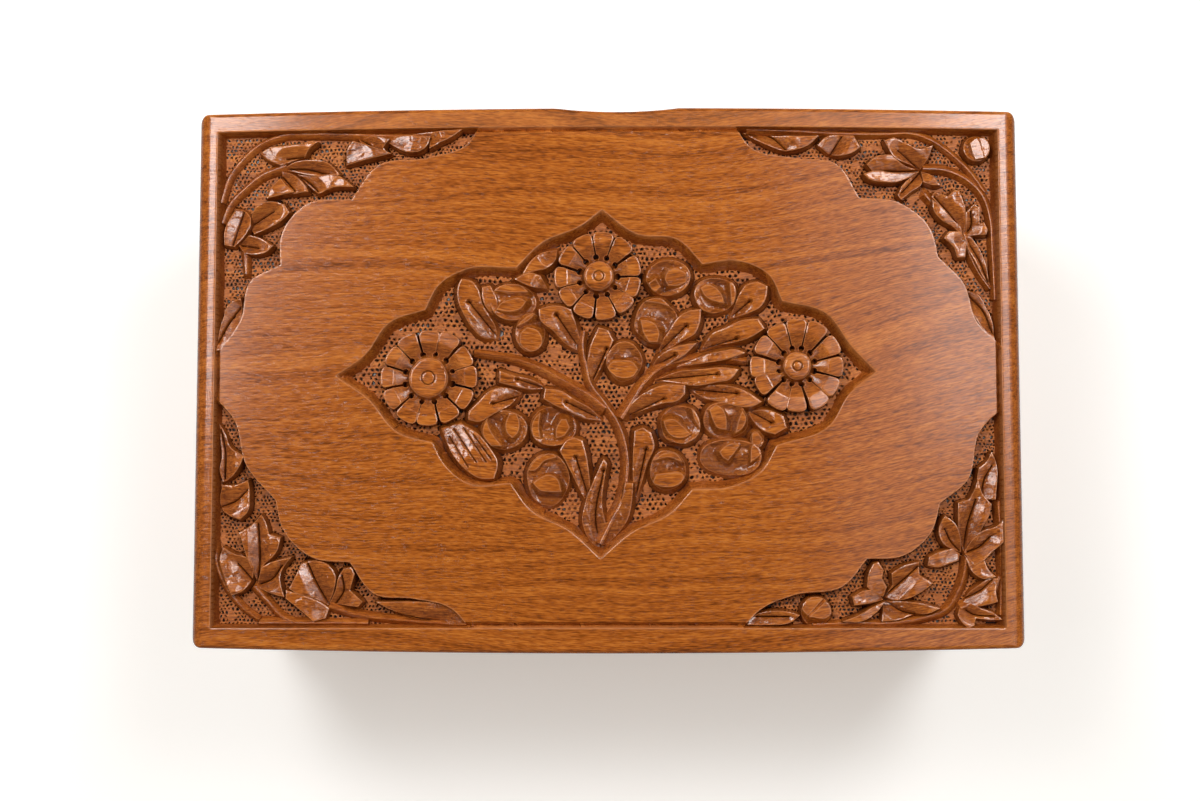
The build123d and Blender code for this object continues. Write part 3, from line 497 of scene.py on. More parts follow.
def triangulate(points, lines, outline):
    """Points and triangles inside the outline. Lines are (places, closed), and their stretches stay edges."""
    every, edges = [points], []
    count = len(points)
    for line, closed in [(outline, True)] + list(lines):
        n = len(line)
        edges += [(count + i, count + (i + 1) % n) for i in range(n if closed else n - 1)]
        every.append(line)
        count += n
    every = [Vector(p) for p in np.vstack(every)]
    found, _, triangles, *_ = delaunay_2d_cdt(every, edges, [], 0, 1e-4, False)
    found, triangles = np.array([tuple(p) for p in found]), np.array(triangles)
    kept = triangles[inside(found[triangles].mean(1), outline)]
    used, kept = np.unique(kept, return_inverse=True)
    found, kept = found[used], kept.reshape(-1, 3)
    a, b, c = (found[kept[:, k]] for k in range(3))
    turn = (b - a)[:, 0] * (c - a)[:, 1] - (b - a)[:, 1] * (c - a)[:, 0]
    kept[turn < 0] = kept[turn < 0][:, ::-1]
    return found, kept[np.abs(turn) > 1e-7]


def rim_edges(triangles):
    """The edges that only one triangle has, in that triangle's direction."""
    edges = np.vstack([triangles[:, [0, 1]], triangles[:, [1, 2]], triangles[:, [2, 0]]])
    _, first, count = np.unique(np.sort(edges, axis=1), axis=0, return_index=True, return_counts=True)
    return edges[first[count == 1]]


print("the square is in", len(triangulate(NO_PLACES, [], SQUARE)[1]), "triangles")

# %% [markdown]
# ## Making a piece
# Every carved piece is written in the carver's millimetres and placed in the frame in one go: half a turn,
# because the carver looks from the front, and down from the top of the lid. The object itself stays at the
# origin.

# %% From the carver's places to an object
SHARP_ANGLE = 32.0  # degrees between two faces, above which their edge is crisp


def in_frame(points):
    """The carver's places as places in the frame, in metres."""
    p = np.asarray(points, float)
    return np.column_stack([-p[:, 0], -p[:, 1], BOARD_TOP + p[:, 2]]) * MM


def mesh_of(name, points, faces, wear_and_shading=None):
    """A mesh, with how much each place is painted paler or darker where that is given: paler from handling
    and painted light above 0, darker as painted shade below.
    """
    mesh = bpy.data.meshes.new(name)
    mesh.from_pydata(points.tolist(), [], [list(map(int, face)) for face in faces])
    if wear_and_shading is not None:
        keep_wear_and_shading(mesh, wear_and_shading)
    return mesh


def keep_wear_and_shading(mesh, wear_and_shading):
    """Keeps how much each place is painted paler or darker, for the wood to read: paler from handling and
    painted light above 0, darker as painted shade below.
    """
    mesh.attributes.new("wear_and_shading", "FLOAT", "POINT").data.foreach_set("value", np.asarray(wear_and_shading, np.float32))


def adopt(piece, material, body, replaces=()):
    """Gives a mesh object its finish and its body."""
    mesh = piece.data
    mesh.materials.clear()
    mesh.materials.append(material)
    mesh.shade_smooth()
    mesh.set_sharp_from_angle(angle=radians(SHARP_ANGLE))
    scene.collection.objects.link(piece)
    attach(piece, body)
    if replaces:
        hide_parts(*replaces)
    print(f"{piece.name}: {sum(len(p.vertices) - 2 for p in mesh.polygons)} triangles")


def make_carvings(name, forms):
    """One piece of the lid from several carved forms, each with its places, faces, and how much each place is
    painted paler or darker.
    """
    points, faces, wear_and_shading = zip(*forms)
    starts = np.cumsum([0, *map(len, points)])
    faces = [[n + start for n in face] for start, group in zip(starts, faces) for face in group]
    mesh = mesh_of(name, in_frame(np.vstack(points)), faces, np.concatenate(wear_and_shading))
    adopt(bpy.data.objects.new(name, mesh), cut_walnut, "lid")


corner = in_frame([(127, 82.5, 0)])[0]
print("the lid's far right corner is at", [round(1000 * float(c), 1) for c in corner], "mm in the frame")

# %% [markdown]
# ## The lid's outline
# The board is 254 by 165 mm. Its long edges swell by 1.7 mm half way along, its ends are rounded over much
# further than its long edges, and the front edge has a wide thumb scoop that cuts in deeper lower down. A
# ring of places is worked out for any height, so that the rounding is a stack of such rings.

# %% One ring round the board
HALF_LENGTH, HALF_DEPTH = 127.0, 82.5
BOW, CORNER_RADIUS, THICKNESS = 1.7, 3.0, 1000 * (board_high.z - board_low.z)
SCOOP_MIDDLE, SCOOP_RADIUS, SCOOP_TOP, SCOOP_BOTTOM = 3.5, 156.1, 1.1, 3.0
LONG_STEPS, END_STEPS, CORNER_STEPS = 127, 82, 8


def bow(u):
    """How far the board's long edges swell at this place along them."""
    return BOW * np.clip(1 - (np.asarray(u) / HALF_LENGTH) ** 2, 0, 1)


def board_ring(end_inset, long_inset, end_drop, long_drop):
    """The board's outline, drawn in by the insets, as u, v and height."""
    radius = max(CORNER_RADIUS - max(end_inset, long_inset), 0.4)
    u, v = HALF_LENGTH - end_inset - radius, HALF_DEPTH - long_inset - radius
    ring = []
    for quarter, (su, sv) in enumerate([(1, 1), (-1, 1), (-1, -1), (1, -1)]):
        for angle in np.linspace(0, pi / 2, CORNER_STEPS + 1) + quarter * pi / 2:
            drop = end_drop * cos(angle) ** 2 + long_drop * sin(angle) ** 2
            ring.append((su * u + radius * cos(angle), sv * v + radius * sin(angle), -drop))
        if quarter % 2:
            start, end = (su * (u + radius), sv * v), (su * (u + radius), -sv * v)
            steps, drop = END_STEPS, end_drop
        else:
            start, end = (u * su, sv * (v + radius)), (-u * su, sv * (v + radius))
            steps, drop = LONG_STEPS, long_drop
        for t in np.linspace(0, 1, steps + 1)[1:-1]:
            ring.append((start[0] * (1 - t) + end[0] * t, start[1] * (1 - t) + end[1] * t, -drop))
    ring = np.array(ring)
    ring[:, 1] += np.sign(ring[:, 1]) * bow(ring[:, 0]) * (np.abs(ring[:, 1]) > HALF_DEPTH - 6)
    cut = SCOOP_TOP + (SCOOP_BOTTOM - SCOOP_TOP) * -ring[:, 2] / THICKNESS
    edge = HALF_DEPTH + BOW - cut + (ring[:, 0] - SCOOP_MIDDLE) ** 2 / (2 * SCOOP_RADIUS) - long_inset
    ring[:, 1] = np.minimum(ring[:, 1], edge)
    return ring


print("the board is", 2 * HALF_LENGTH, "by", 2 * HALF_DEPTH, "by", round(THICKNESS, 2), "mm")

# %% The stack of rings
END_ROUND, LONG_ROUND = (5.0, 3.5), 1.4  # ends: how far in and how far down; long edges: both
ARRIS = 0.5  # taken off round the underside

rings = [board_ring(ARRIS, ARRIS, THICKNESS, THICKNESS)]
rings.append(board_ring(0, 0, THICKNESS - ARRIS, THICKNESS - ARRIS))
rings += [board_ring(0, 0, THICKNESS * s, THICKNESS * s) for s in (0.75, 0.5)]
for angle in np.linspace(0, pi / 2, 9):
    inward, down = 1 - cos(angle), 1 - sin(angle)
    insets = END_ROUND[0] * inward, LONG_ROUND * inward
    rings.append(board_ring(*insets, END_ROUND[1] * down, LONG_ROUND * down))
print(len(rings), "rings of", len(rings[0]), "places")

# %% [markdown]
# ## What is cut into the top
# Three kinds of cut are made before any leaf is carved. A V groove follows the rim. At each corner the
# ground is sunk between the rim and a scalloped line. In the middle a medallion is sunk within twelve arcs
# that meet in points. Each line is given by a few places per arc.

# %% Lines of the cuts, as the carver's places
RIM = np.array([121.0, 76.5])  # the rim's inner corner
GROOVE_MIDDLE, GROOVE_DEPTH = 0.95, 1.6
GROUND, POCKET_FLOOR = -4.0, -4.6
MEDALLION_RUN, FIELD_RUN, END_RIM_RUN, LONG_RIM_RUN = 2.8, 0.8, 2.2, 1.3  # how wide each sloping wall is

MEDALLION = [
    "-1.5,52 9,44.5 22,42.5 29.5,35",
    "29.5,35 40,36 50,31.5 54,23.5",
    "54,23.5 67.5,19.5 75,9.5 82.5,1.5",
    "82.5,1.5 74.5,-5 68,-15 52,-21",
    "52,-21 47,-29 38,-33.5 26,-34.5",
    "26,-34.5 19.5,-41.5 7.5,-47.5 -2,-55.5",
    "-2,-55.5 -11.5,-47 -23.5,-40.5 -29.5,-32.5",
    "-29.5,-32.5 -42.5,-32.5 -50,-26.5 -53.5,-20",
    "-53.5,-20 -64,-17 -73.5,-6.5 -83.5,0.5",
    "-83.5,0.5 -74.5,7 -67,17 -56,21",
    "-56,21 -52,28.5 -43.5,33.5 -28,34",
    "-28,34 -19.5,42 -8,47 -1.5,52",
]
FIELD_LINES = {  # inwards from the rim's inner corner; -1, 1 is the corner at the front left
    (-1, 1): ["81.5,-2 78,3.5 65.5,8 50,10.5 42,21", "42,21 28,22.5 20.5,31.5 20,41.5",
              "20,41.5 11,46.5 8,58.5 -1,71"],
    (1, 1): ["81.5,-2 76.5,5 63,8.5 50,10.5 43,21", "43,21 31,22.5 21.5,30.5 19,39.5",
             "19,39.5 11.5,47.5 7.5,59.5 -1,68"],
    (-1, -1): ["80,-1 73.5,6 62,9 50,10.5 42.5,20", "42.5,20 31,21.5 22,30 19.5,39",
               "19.5,39 10.5,49.5 6.5,63.5 -1,72"],
    (1, -1): ["81,-1 74,6 64.5,10 49,13 42,21", "42,21 31,22 22.5,29 19.5,38",
              "19.5,38 11.5,44.5 7,60 -1,68"],
}
print(len(MEDALLION), "arcs round the medallion and", sum(map(len, FIELD_LINES.values())), "at the corners")


# %% Lines to cut along
def arcs(runs, step=0.5):
    """Runs that meet in corners, as one line."""
    parts = [smooth(places(run), step, closed=False) for run in runs]
    return np.vstack([part[:-1] for part in parts] + [parts[-1][-1:]])


def from_corner(points, corner):
    """Places given inwards from the rim's inner corner."""
    return np.asarray(corner) * (RIM - points)


medallion_line = arcs(MEDALLION)[:-1][::-1]  # anticlockwise
along, across = (np.linspace(-half, half, round(4 * half) + 1) for half in RIM)  # every half millimetre
rim_sides = [np.column_stack([along, np.full(len(along), side * RIM[1])]) for side in (-1, 1)]
rim_sides[1][:, 1] += bow(along)
rim_ends = [np.column_stack([np.full(len(across), side * RIM[0]), across]) for side in (-1, 1)]
rim_line = np.vstack([rim_sides[0][:-1], rim_ends[1][:-1], rim_sides[1][::-1][:-1], rim_ends[0][::-1][:-1]])
field_lines = {corner: from_corner(arcs(runs), corner) for corner, runs in FIELD_LINES.items()}
pockets = {}
for corner, line in field_lines.items():
    beyond = np.array(corner) * (RIM + 9)  # well outside the rim, so that the rim is what ends the pocket
    pockets[corner] = np.vstack([line, [(beyond[0], line[-1][1]), beyond, (line[0][0], beyond[1])]])
print("the medallion's edge is in", len(medallion_line), "stretches of half a millimetre")

# %% [markdown]
# ## Height of the sunk board
# With the lines known, the height of any place on the board is a matter of distances: so far inside the
# medallion's edge means so far down its sloping wall. The walls wander a little, as cuts from a gouge do,
# and each edge is eased by a few hundredths of a millimetre, which is what catches the light.

# %% A hand's unevenness
def wander(points, size, seed):
    """A slow hand's unevenness, from -1 to 1, for features of about this size in millimetres."""
    turns = np.random.default_rng(seed).uniform(-1, 1, (7, 4))
    waves = sum(np.sin((points @ t[:2]) * 4 / size + 9 * t[2]) * (0.6 + 0.4 * t[3]) for t in turns)
    return waves / 3.2


def chisel(p, seed, size=2.3):
    """The small tilted facets that a flat chisel leaves, as a height at each place."""
    dice = np.random.default_rng(seed + 500)
    spots = honeycomb(p.min(0) - size, p.max(0) + size, size)
    spots += dice.uniform(-0.35, 0.35, spots.shape) * size
    tilt, lift = dice.uniform(-0.13, 0.13, spots.shape), dice.uniform(-0.06, 0.06, len(spots))
    nearest = closest(p, spots)
    return lift[nearest] + ((p - spots[nearest]) * tilt[nearest]).sum(1)


def easing(gap):
    """How much an edge is rubbed down, at this distance from it."""
    return 0.07 * nearness(gap, 0.16)


facets = chisel(honeycomb((0, 0), (20, 20), 0.5), 2)
print("a flat chisel's facets lie within", round(np.ptp(facets), 2), "mm of height")

# %% Height of the board at any place
SCRATCH = smooth(places("-47,74.4 -30,75.2 -12,76 0,75.9 14,76.2 30,75.6 44,74.6"), closed=False)
SCRATCH_DEPTH, SCRATCH_HALF = 0.32, 0.5  # one long scratch beside the front groove
WALL_CURVE = 0.93  # under 1 a wall falls faster near its edge


def board_height(p):
    """Up from the polished top, at each place of the carver's."""
    within = inside(p, rim_line)
    to_rim = distance(p, rim_line, True)
    groove = GROOVE_DEPTH * nearness(np.abs(to_rim - GROOVE_MIDDLE), GROOVE_MIDDLE)
    height = -easing(to_rim)
    height = np.where(within, np.minimum(height, -groove), height)
    height -= SCRATCH_DEPTH * nearness(distance(p, SCRATCH), SCRATCH_HALF)
    to_edge = distance(p, medallion_line, True)
    run = MEDALLION_RUN * (1 + 0.10 * wander(p, 9, 3))
    fall = np.where(inside(p, medallion_line), POCKET_FLOOR * np.clip(to_edge / run, 0, 1) ** WALL_CURVE, 0)
    height = np.minimum(height - easing(to_edge), fall)
    height = np.where((to_edge > 0.4) & (height < -0.4), height + 1.6 * chisel(p, 2, 3.6), height)
    to_ends = np.minimum(distance(p, rim_ends[0]), distance(p, rim_ends[1])) / END_RIM_RUN
    to_sides = np.minimum(distance(p, rim_sides[0]), distance(p, rim_sides[1])) / LONG_RIM_RUN
    to_rims = np.minimum(to_ends, to_sides) / (1 + 0.12 * wander(p, 7, 5))
    for corner, pocket in pockets.items():
        to_field = distance(p, field_lines[corner])
        share = np.clip(np.minimum(to_rims, to_field / FIELD_RUN), 0, 1)
        sunk = within & inside(p, pocket)
        height = np.where(sunk, np.minimum(height, POCKET_FLOOR * share), height - easing(to_field) * within)
    return height


print("the scratch is", round(np.linalg.norm(np.diff(SCRATCH, axis=0), axis=1).sum()), "mm long")

# %% [markdown]
# ## The board
# The top is a net of triangles. Extra rows of places run beside each cut, so that edges are crisp and no
# long triangle carries the shading of an edge out over the polished field.

# %% The net of the top
BESIDE_RIM = (-0.45, -0.16, 0.16, 0.95, 1.3, 1.75, 1.95, 2.2, 2.5)
BESIDE_MEDALLION = (-0.5, -0.16, 0.2, 0.9, 1.6, 2.2, 2.8, 3.1)
BESIDE_FIELD = (-0.8, -1.0, -0.16, -0.45, 0.16, 0.45, 0.8, 1.0)

inner = rings[-1][:, :2]
rows = [np.zeros((1, 2))] + [beside(inner, d) for d in (0.5, 1.2)]
rows += [beside(rim_line, d) for d in BESIDE_RIM]
rows += [beside(medallion_line, d) for d in BESIDE_MEDALLION]
edges = [(rim_line, True), (medallion_line, True)]
for line in field_lines.values():
    near = [beside(line, d, closed=False) for d in BESIDE_FIELD]
    rows += [row[inside(row, rim_line)] for row in near]
    edges.append((line[1:-1][inside(line[1:-1], rim_line)], False))
rows += [beside(SCRATCH, d, closed=False) for d in (-0.9, -0.5, 0, 0.5, 0.9)]
top_points, top_faces = triangulate(np.vstack(rows), edges, inner)
top_height = board_height(top_points)
print(len(top_points), "places on the top in", len(top_faces), "triangles")

# %% Where hands rub the top, and where its edges are painted paler as a highlight
edge_gap = np.minimum(distance(top_points, rim_line, True), distance(top_points, medallion_line, True))
for line in field_lines.values():
    edge_gap = np.minimum(edge_gap, np.where(inside(top_points, rim_line), distance(top_points, line), 9))
front_rub = 0.35 * np.clip((top_points[:, 1] - 75) / 3, 0, 1)  # thumbs open the lid here
# paler along every cut edge, partly from handling and partly as a painted highlight, and paler at the front
# edge where thumbs open the lid
top_rub_and_highlight = np.maximum(nearness(edge_gap, 0.35), front_rub) * (top_height > -0.4)
print(round(100 * (top_rub_and_highlight > 0).mean()), "% of the top's places are rubbed")

# %% Joining the top to the rings round it
points, faces, around = [np.column_stack([top_points, top_height])], list(top_faces), len(inner)
upper = closest(inner, top_points)
for ring in rings[-2::-1]:
    lower = np.arange(around) + sum(map(len, points))
    points.append(ring)
    for i in range(around):
        j = (i + 1) % around
        faces.append((upper[i], lower[i], lower[j], upper[j]))
    upper = lower
under_points, under_faces = triangulate(NO_PLACES, [], rings[0][:, :2])
under = upper[closest(under_points, rings[0][:, :2])]
faces += [[under[n] for n in face[::-1]] for face in under_faces]
points = np.vstack(points)
wear_and_shading = np.concatenate([top_rub_and_highlight, np.zeros(len(points) - len(top_rub_and_highlight))])
lid_board = bpy.data.objects.new("lid_board", mesh_of("lid_board", in_frame(points), faces, wear_and_shading))
adopt(lid_board, lid_walnut, "lid", ["lid_panel"])

# %% [markdown]
# ## Carving a leaf
# A carved leaf keeps a flat of the polished top near its tip. From there it is scooped down towards its
# root, and a V cut runs up its middle to a small dark nick. So its height at any place is a rule: distance
# from the root for the scoop, distance from the vein for the V, and distance from the outline for the
# rubbed edge. The leaf is then a closed solid whose foot stands just below the sunk ground.

# %% The top of a carved form
TOP_STEP = 0.42


def top_net(edge, lines):
    """Places and triangles of a form's top, with rows of places beside its edge and its lines."""
    fill = honeycomb(edge.min(0), edge.max(0), TOP_STEP)
    fill = fill[inside(fill, edge)]
    clear = distance(fill, edge, True) > TOP_STEP
    near = [beside(edge, 0.22), beside(edge, 0.4)]
    for line in lines:
        clear &= distance(fill, line) > 0.34
        near += [line] + [beside(line, d, closed=False) for d in (-0.28, 0.28)]
    near = np.vstack(near)
    return triangulate(np.vstack([fill[clear], near[inside(near, edge)]]), [], edge)


print("the top of a 2 mm square is in", len(top_net(SQUARE, [])[1]), "triangles")

# %% One carved form
FOOT = -4.75
FLARE, CORNER_FLARE = 2.5, 1.4  # how much wider a form is at its foot
SIDE = [  # shoulder, waist, ankle and foot: shares of the flare and of the way down, and how dark each is painted, as painted shade that is darkest at the foot
    (0.05, 0.10, -0.1), (0.34, 0.56, -0.3), (0.62, 0.84, -1.0), (1.0, 1.0, -1.0),
]


def outwards(top, border):
    """The way out of the outline at each place on it, one long."""
    out = np.zeros_like(top)
    way = top[border[:, 1]] - top[border[:, 0]]
    for end in (0, 1):
        np.add.at(out, border[:, end], np.column_stack([way[:, 1], -way[:, 0]]))
    return out / np.maximum(np.linalg.norm(out, axis=1), 1e-9)[:, None]


def carve(outline, height, lines=(), rub_and_highlight_lines=(), low_shade=0.25, flare=FLARE):
    """A closed solid with this outline, whose side is hollow as a gouge leaves it: places, faces, and how
    much each place is painted paler or darker. Its edge and the given lines of highlight are painted paler,
    partly from handling and partly as a painted highlight; low places, veins, cut lines and the side down to
    the foot are painted dark as painted shade.
    """
    edge = smooth(outline, 0.4, turn=42)
    before = np.roll(edge, 1, 0)
    if ((edge[:, 0] - before[:, 0]) * (edge[:, 1] + before[:, 1])).sum() > 0:
        edge = edge[::-1]
    top, top_faces = top_net(edge, [*lines, *rub_and_highlight_lines])
    gap = distance(top, edge, True)
    z = height(top, gap)

    # the top's edge and the given lines are painted paler, partly from handling and partly as a painted
    # highlight
    wear_and_shading = nearness(gap, 0.3)
    for line in rub_and_highlight_lines:
        wear_and_shading = np.maximum(wear_and_shading, nearness(distance(top, line), 0.25))
    # painted shade: the further a place lies below the form's top, the darker it is painted
    wear_and_shading -= low_shade * np.clip((z.max() - 0.3 - z) / 1.5, 0, 1)
    # painted shade: each vein and cut line is painted dark
    for line in lines:
        wear_and_shading = np.minimum(wear_and_shading, np.clip(distance(top, line) / 0.3 - 1, -1, 1))

    points, faces, wear_and_shading = [np.column_stack([top, z])], [tuple(face) for face in top_faces], [wear_and_shading]
    border = rim_edges(top_faces)
    ring, out = np.unique(border), outwards(top, border)
    upper, start = dict(zip(ring, ring)), len(top)
    for reach, drop, rub_and_shading in SIDE:
        level = z[ring] * (1 - drop) + FOOT * drop
        points.append(np.column_stack([(top + reach * flare * out)[ring], level]))
        wear_and_shading.append(np.full(len(ring), rub_and_shading))
        lower = dict(zip(ring, range(start, start + len(ring))))
        faces += [(upper[b], upper[a], lower[a], lower[b]) for a, b in border]
        upper, start = lower, start + len(ring)
    under, under_faces = triangulate(NO_PLACES, [], edge)
    foot = closest(under, top[ring]) + start - len(ring)
    faces += [tuple(foot[face[::-1]]) for face in under_faces]
    return np.vstack(points), faces, np.concatenate(wear_and_shading)


flat = carve(SQUARE, lambda p, gap: np.zeros(len(p)))
print("a 2 mm square carved flat has", len(flat[0]), "places and", len(flat[1]), "faces")

# %% [markdown]
# ## Height rules
# Each kind of form has its rule, which gives the height at any of its places from the gap to its edge and a
# few distances. The dice of a rule have their own seed, so a form stays as it is when another one changes.

# %% What the rules share
EDGE_RUB, EDGE_WIDTH = 0.14, 0.26
LOWEST_LEAF, LOWEST_BUD = -3.6, -3.7


def rub(gap):
    """How far hands have taken an edge down, at this distance from it."""
    return EDGE_RUB * nearness(gap, EDGE_WIDTH)


print("an edge is rubbed down by", rub(0), "mm")


# %% Leaves of the medallion
def leaf_rule(outline, vein, seed, cuts=()):
    """Flat tip, scooped root, V vein with a nick at its end."""
    dice = np.random.default_rng(seed)
    root = outline[0]
    tip = outline[np.linalg.norm(outline - root, axis=1).argmax()]
    end = vein[-1] if len(vein) else root + 0.5 * (tip - root)
    flat_from = np.linalg.norm(end - root) * dice.uniform(0.98, 1.06)
    top, low = -dice.uniform(0.08, 0.4), dice.uniform(2.4, 3.1)
    tilt = dice.uniform(-0.035, 0.035, 2)

    def height(p, gap):
        scoop = nearness(np.linalg.norm(p - root, axis=1), flat_from)
        h = top + (p - outline.mean(0)) @ tilt - low * scoop**1.15
        if len(vein):
            off = distance(p, vein)
            h -= 0.9 * nearness(off, 1.8) * np.clip(scoop * 5, 0, 1)  # the wide V
            h -= 0.5 * nearness(off, 0.32)  # its sharp bottom
            h -= 1.7 * nearness(np.linalg.norm(p - end, axis=1), 0.95)  # the nick
        for cut in cuts:
            h -= 0.4 * nearness(distance(p, cut), 0.34)
        h += chisel(p, seed) * (0.2 + 0.7 * np.clip(scoop * 4, 0, 1))
        return np.maximum(h - rub(gap), LOWEST_LEAF)

    return height


# %% Leaves of the corners
def facet_rule(outline, vein, seed, cuts=()):
    """Two planes that fall from the outline to a dark V vein."""
    dice = np.random.default_rng(seed)
    root = outline[0]
    reach = np.linalg.norm(outline - root, axis=1).max()
    steep = dice.uniform(0.28, 0.5), dice.uniform(0.28, 0.5)
    top, low = -dice.uniform(0.1, 0.5), dice.uniform(1.0, 1.8)
    tilt = dice.uniform(-0.06, 0.06, 2)

    def height(p, gap):
        scoop = nearness(np.linalg.norm(p - root, axis=1), 0.6 * reach)
        h = top + (p - outline.mean(0)) @ tilt - low * scoop
        if len(vein):
            off = distance(p, vein)
            way = vein[-1] - vein[0]
            left = way[0] * (p - vein[0])[:, 1] - way[1] * (p - vein[0])[:, 0] > 0
            h -= np.where(left, steep[0], steep[1]) * np.clip(3.4 - off, 0, 3.4)
            h -= 0.7 * nearness(off, 0.34)
        h += 0.5 * chisel(p, seed, 3.2)
        return np.maximum(h - rub(gap), LOWEST_LEAF)

    return height


# %% Buds
def bud_rule(flats, seed):
    """Flats of the polished top, pared away round them, in a bowl whose edge stands on one side."""
    dice = np.random.default_rng(seed)
    steep, top, open_side = dice.uniform(1.3, 1.7), -dice.uniform(0.1, 0.3), dice.uniform(0, 2 * pi)

    def height(p, gap):
        away = np.full(len(p), 9.0)
        for flat in flats:
            away = np.minimum(away, np.where(inside(p, flat), 0, distance(p, flat, True)))
        pared = top - np.minimum(steep * np.maximum(away - 0.05, 0) ** 0.8, 2.6)
        out = p - p.mean(0)
        side = 0.5 + 0.5 * np.cos(np.arctan2(out[:, 1], out[:, 0]) - open_side)
        bowl = -0.6 - 2.5 * side**1.4 - 0.9 * np.clip((gap - 0.2) / 1.7, 0, 1)
        bowl += chisel(p, seed)
        return np.maximum(np.maximum(pared, np.minimum(bowl, top)) - rub(gap), LOWEST_BUD)

    return height


# %% [markdown]
# ## Medallion leaves
# Each leaf is its outline, beginning at the root, and then its vein. No two are alike, as the carver
# followed a rough drawing, so they are drawn one by one.

# %% Outlines of the medallion's leaves
MEDALLION_LEAVES = [
    (
        "-34,12.5 -38,12.5 -41.5,15.5 -44,19.5 -46,24.5 -46,28 -45,30.5 -42,30 -39.5,27 -38.5,23 "
        "-36.5,19.5 -34.5,16",
        "-34,13 -42.5,23.5",
    ),
    ("-34,19 -37,21.5 -38.5,25 -38.5,28 -36,28.5 -34,24.5", ""),
    ("-15.5,40 -16,36.5 -18.5,34 -22.5,33 -26,32 -24,35.5 -20.5,38.5", ""),
    ("-18.5,28 -22.5,28 -28.5,30.5 -24,32.5 -20.5,31.5", ""),
    ("-7.5,8 -12.5,10.5 -16.5,14.5 -20.5,18 -21,21 -18,22 -14,22 -11,21 -9.5,16.5", "-8,8.5 -15.5,19.5"),
    ("-5,-2.5 -6,3 -5,10 -2.5,15.5 0.5,14.5 2,11.5 -0.5,6 -3,1", "-5,-2 0,9"),
    ("15.5,7 17,11 19.5,15 22,18.5 25.5,20.5 29,21 28.5,16.5 27,13.5 23.5,11.5 19,9", "15.5,7.5 24.5,16"),
    ("13.5,2.5 15.5,6 19,8.5 23.5,10 27.5,10.5 24.5,7.5 20.5,5 16.5,3", "13.5,3 21,7"),
    ("38,18.5 39.5,22.5 41,26 43,28.5 46.5,29.5 49.5,28 49,24.5 47.5,22 44,20", "38.5,19 44,23.5"),
    ("29,8.5 32.5,13.5 37,15.5 41.5,17.5 46.5,18 48.5,15 44.5,12.5 40,11 33.5,10", "29.5,9 40,12"),
    ("21.5,3.5 29,6.5 35,8 40,8.5 42.5,7.5 36.5,5.5 30.5,4.5", ""),
    ("15,-0.5 22.5,2 29,2.5 35,3 40.5,2.5 38,-0.5 33.5,-1.5 27.5,-2.5 21,-1.5", "15.5,-0.5 34,1"),
    ("4,-13 8,-7.5 12,-4.5 17,-2.5 24,-2.5 24,-5 22,-7 17,-8 11,-10", "4.5,-12.5 17.5,-6.5"),
    ("25,-3 30.5,-2.5 36.5,-2.5 42,-4 47.5,-7.5 44.5,-9 40.5,-9 35,-7.5 30.5,-6.5", "26,-3.5 40,-5"),
    ("43.5,-10.5 49,-10 54,-12 55,-15.5 51.5,-17.5 48,-16.5 45,-13.5", "44.5,-10.5 50.5,-14"),
    ("8.5,-38.5 8,-31.5 8,-24 8.5,-16.5 11,-15.5 13.5,-17 14.5,-21 12.5,-26 10.5,-32.5", "8.5,-38 12,-22"),
    (
        "-26.5,-4.5 -30,-8.5 -34.5,-11 -39.5,-13.5 -42.5,-13 -42.5,-10.5 -39.5,-7.5 -36.5,-4.5 -32.5,-3 "
        "-29,-3.5",
        "-27,-5.5 -35,-8",
    ),
    (
        "-51,-15.5 -45,-14 -40,-17 -36,-21.5 -33.5,-26 -34.5,-31 -38.5,-31 -43.5,-28 -48,-22.5",
        "", "-47,-16 -40,-26", "-44,-15.5 -37,-26", "-48.5,-18 -42.5,-27.5", "-41,-17.5 -35.5,-25",
    ),
    ("-18.5,-3 -24,-3.5 -29,-2.5 -33,-1.5 -33,2 -28.5,0.5 -23.5,-0.5", "-19,-3 -27.5,-0.5"),
    (
        "-1.5,-13 -7,-12.5 -11.5,-10.5 -16,-8.5 -19.5,-6.5 -19,-3.5 -14.5,-4 -9.5,-7 -5,-9.5",
        "-2,-12.5 -12.5,-7.5",
    ),
    (
        "-5,-40 -7.5,-36 -10,-31 -12.5,-26 -14.5,-22.5 -12.5,-19.5 -10,-18.5 -7.5,-19.5 -6.5,-23 "
        "-5.5,-29.5",
        "-5,-39 -9.5,-24.5",
    ),
    (
        "-2,-53 -5.5,-49.5 -7.5,-44.5 -6.5,-38 -4,-31.5 -1,-25 0,-26.5 -1,-32.5 -1.5,-39.5 -0.5,-44.5 "
        "1,-44.5 4,-39 5.5,-32.5 8,-32.5 7.5,-38.5 6.5,-43 3.5,-47.5 0,-51",
        "-2,-52 -3.5,-44 -1,-28.5",
    ),
]
print(len(MEDALLION_LEAVES), "leaves in the medallion")


# %% Carving them
def carved_leaf(entry, rule, seed, corner=None):
    """A leaf's outline and its carved form."""
    outline, vein, *cuts = (places(text) for text in entry)
    flare = FLARE
    if corner is not None:
        outline, vein, flare = from_corner(outline, corner), from_corner(vein, corner), CORNER_FLARE
    line = smooth(vein, 0.4, closed=False) if len(vein) > 1 else vein
    cuts = [smooth(cut, 0.4, closed=False) for cut in cuts]
    lines = ([line] if len(line) else []) + cuts
    return outline, carve(outline, rule(outline, line, seed, cuts), lines, flare=flare)


leaves = [carved_leaf(entry, leaf_rule, seed) for seed, entry in enumerate(MEDALLION_LEAVES)]
drawn = {"medallion": [smooth(outline) for outline, _ in leaves]}  # what stands on each area's ground
make_carvings("medallion_leaves", [form for _, form in leaves])

# %% [markdown]
# ## Buds
# Between the leaves stand round buds. Each is an oval blank with one or two flats left on it and the rest
# pared away, so that it looks half open.

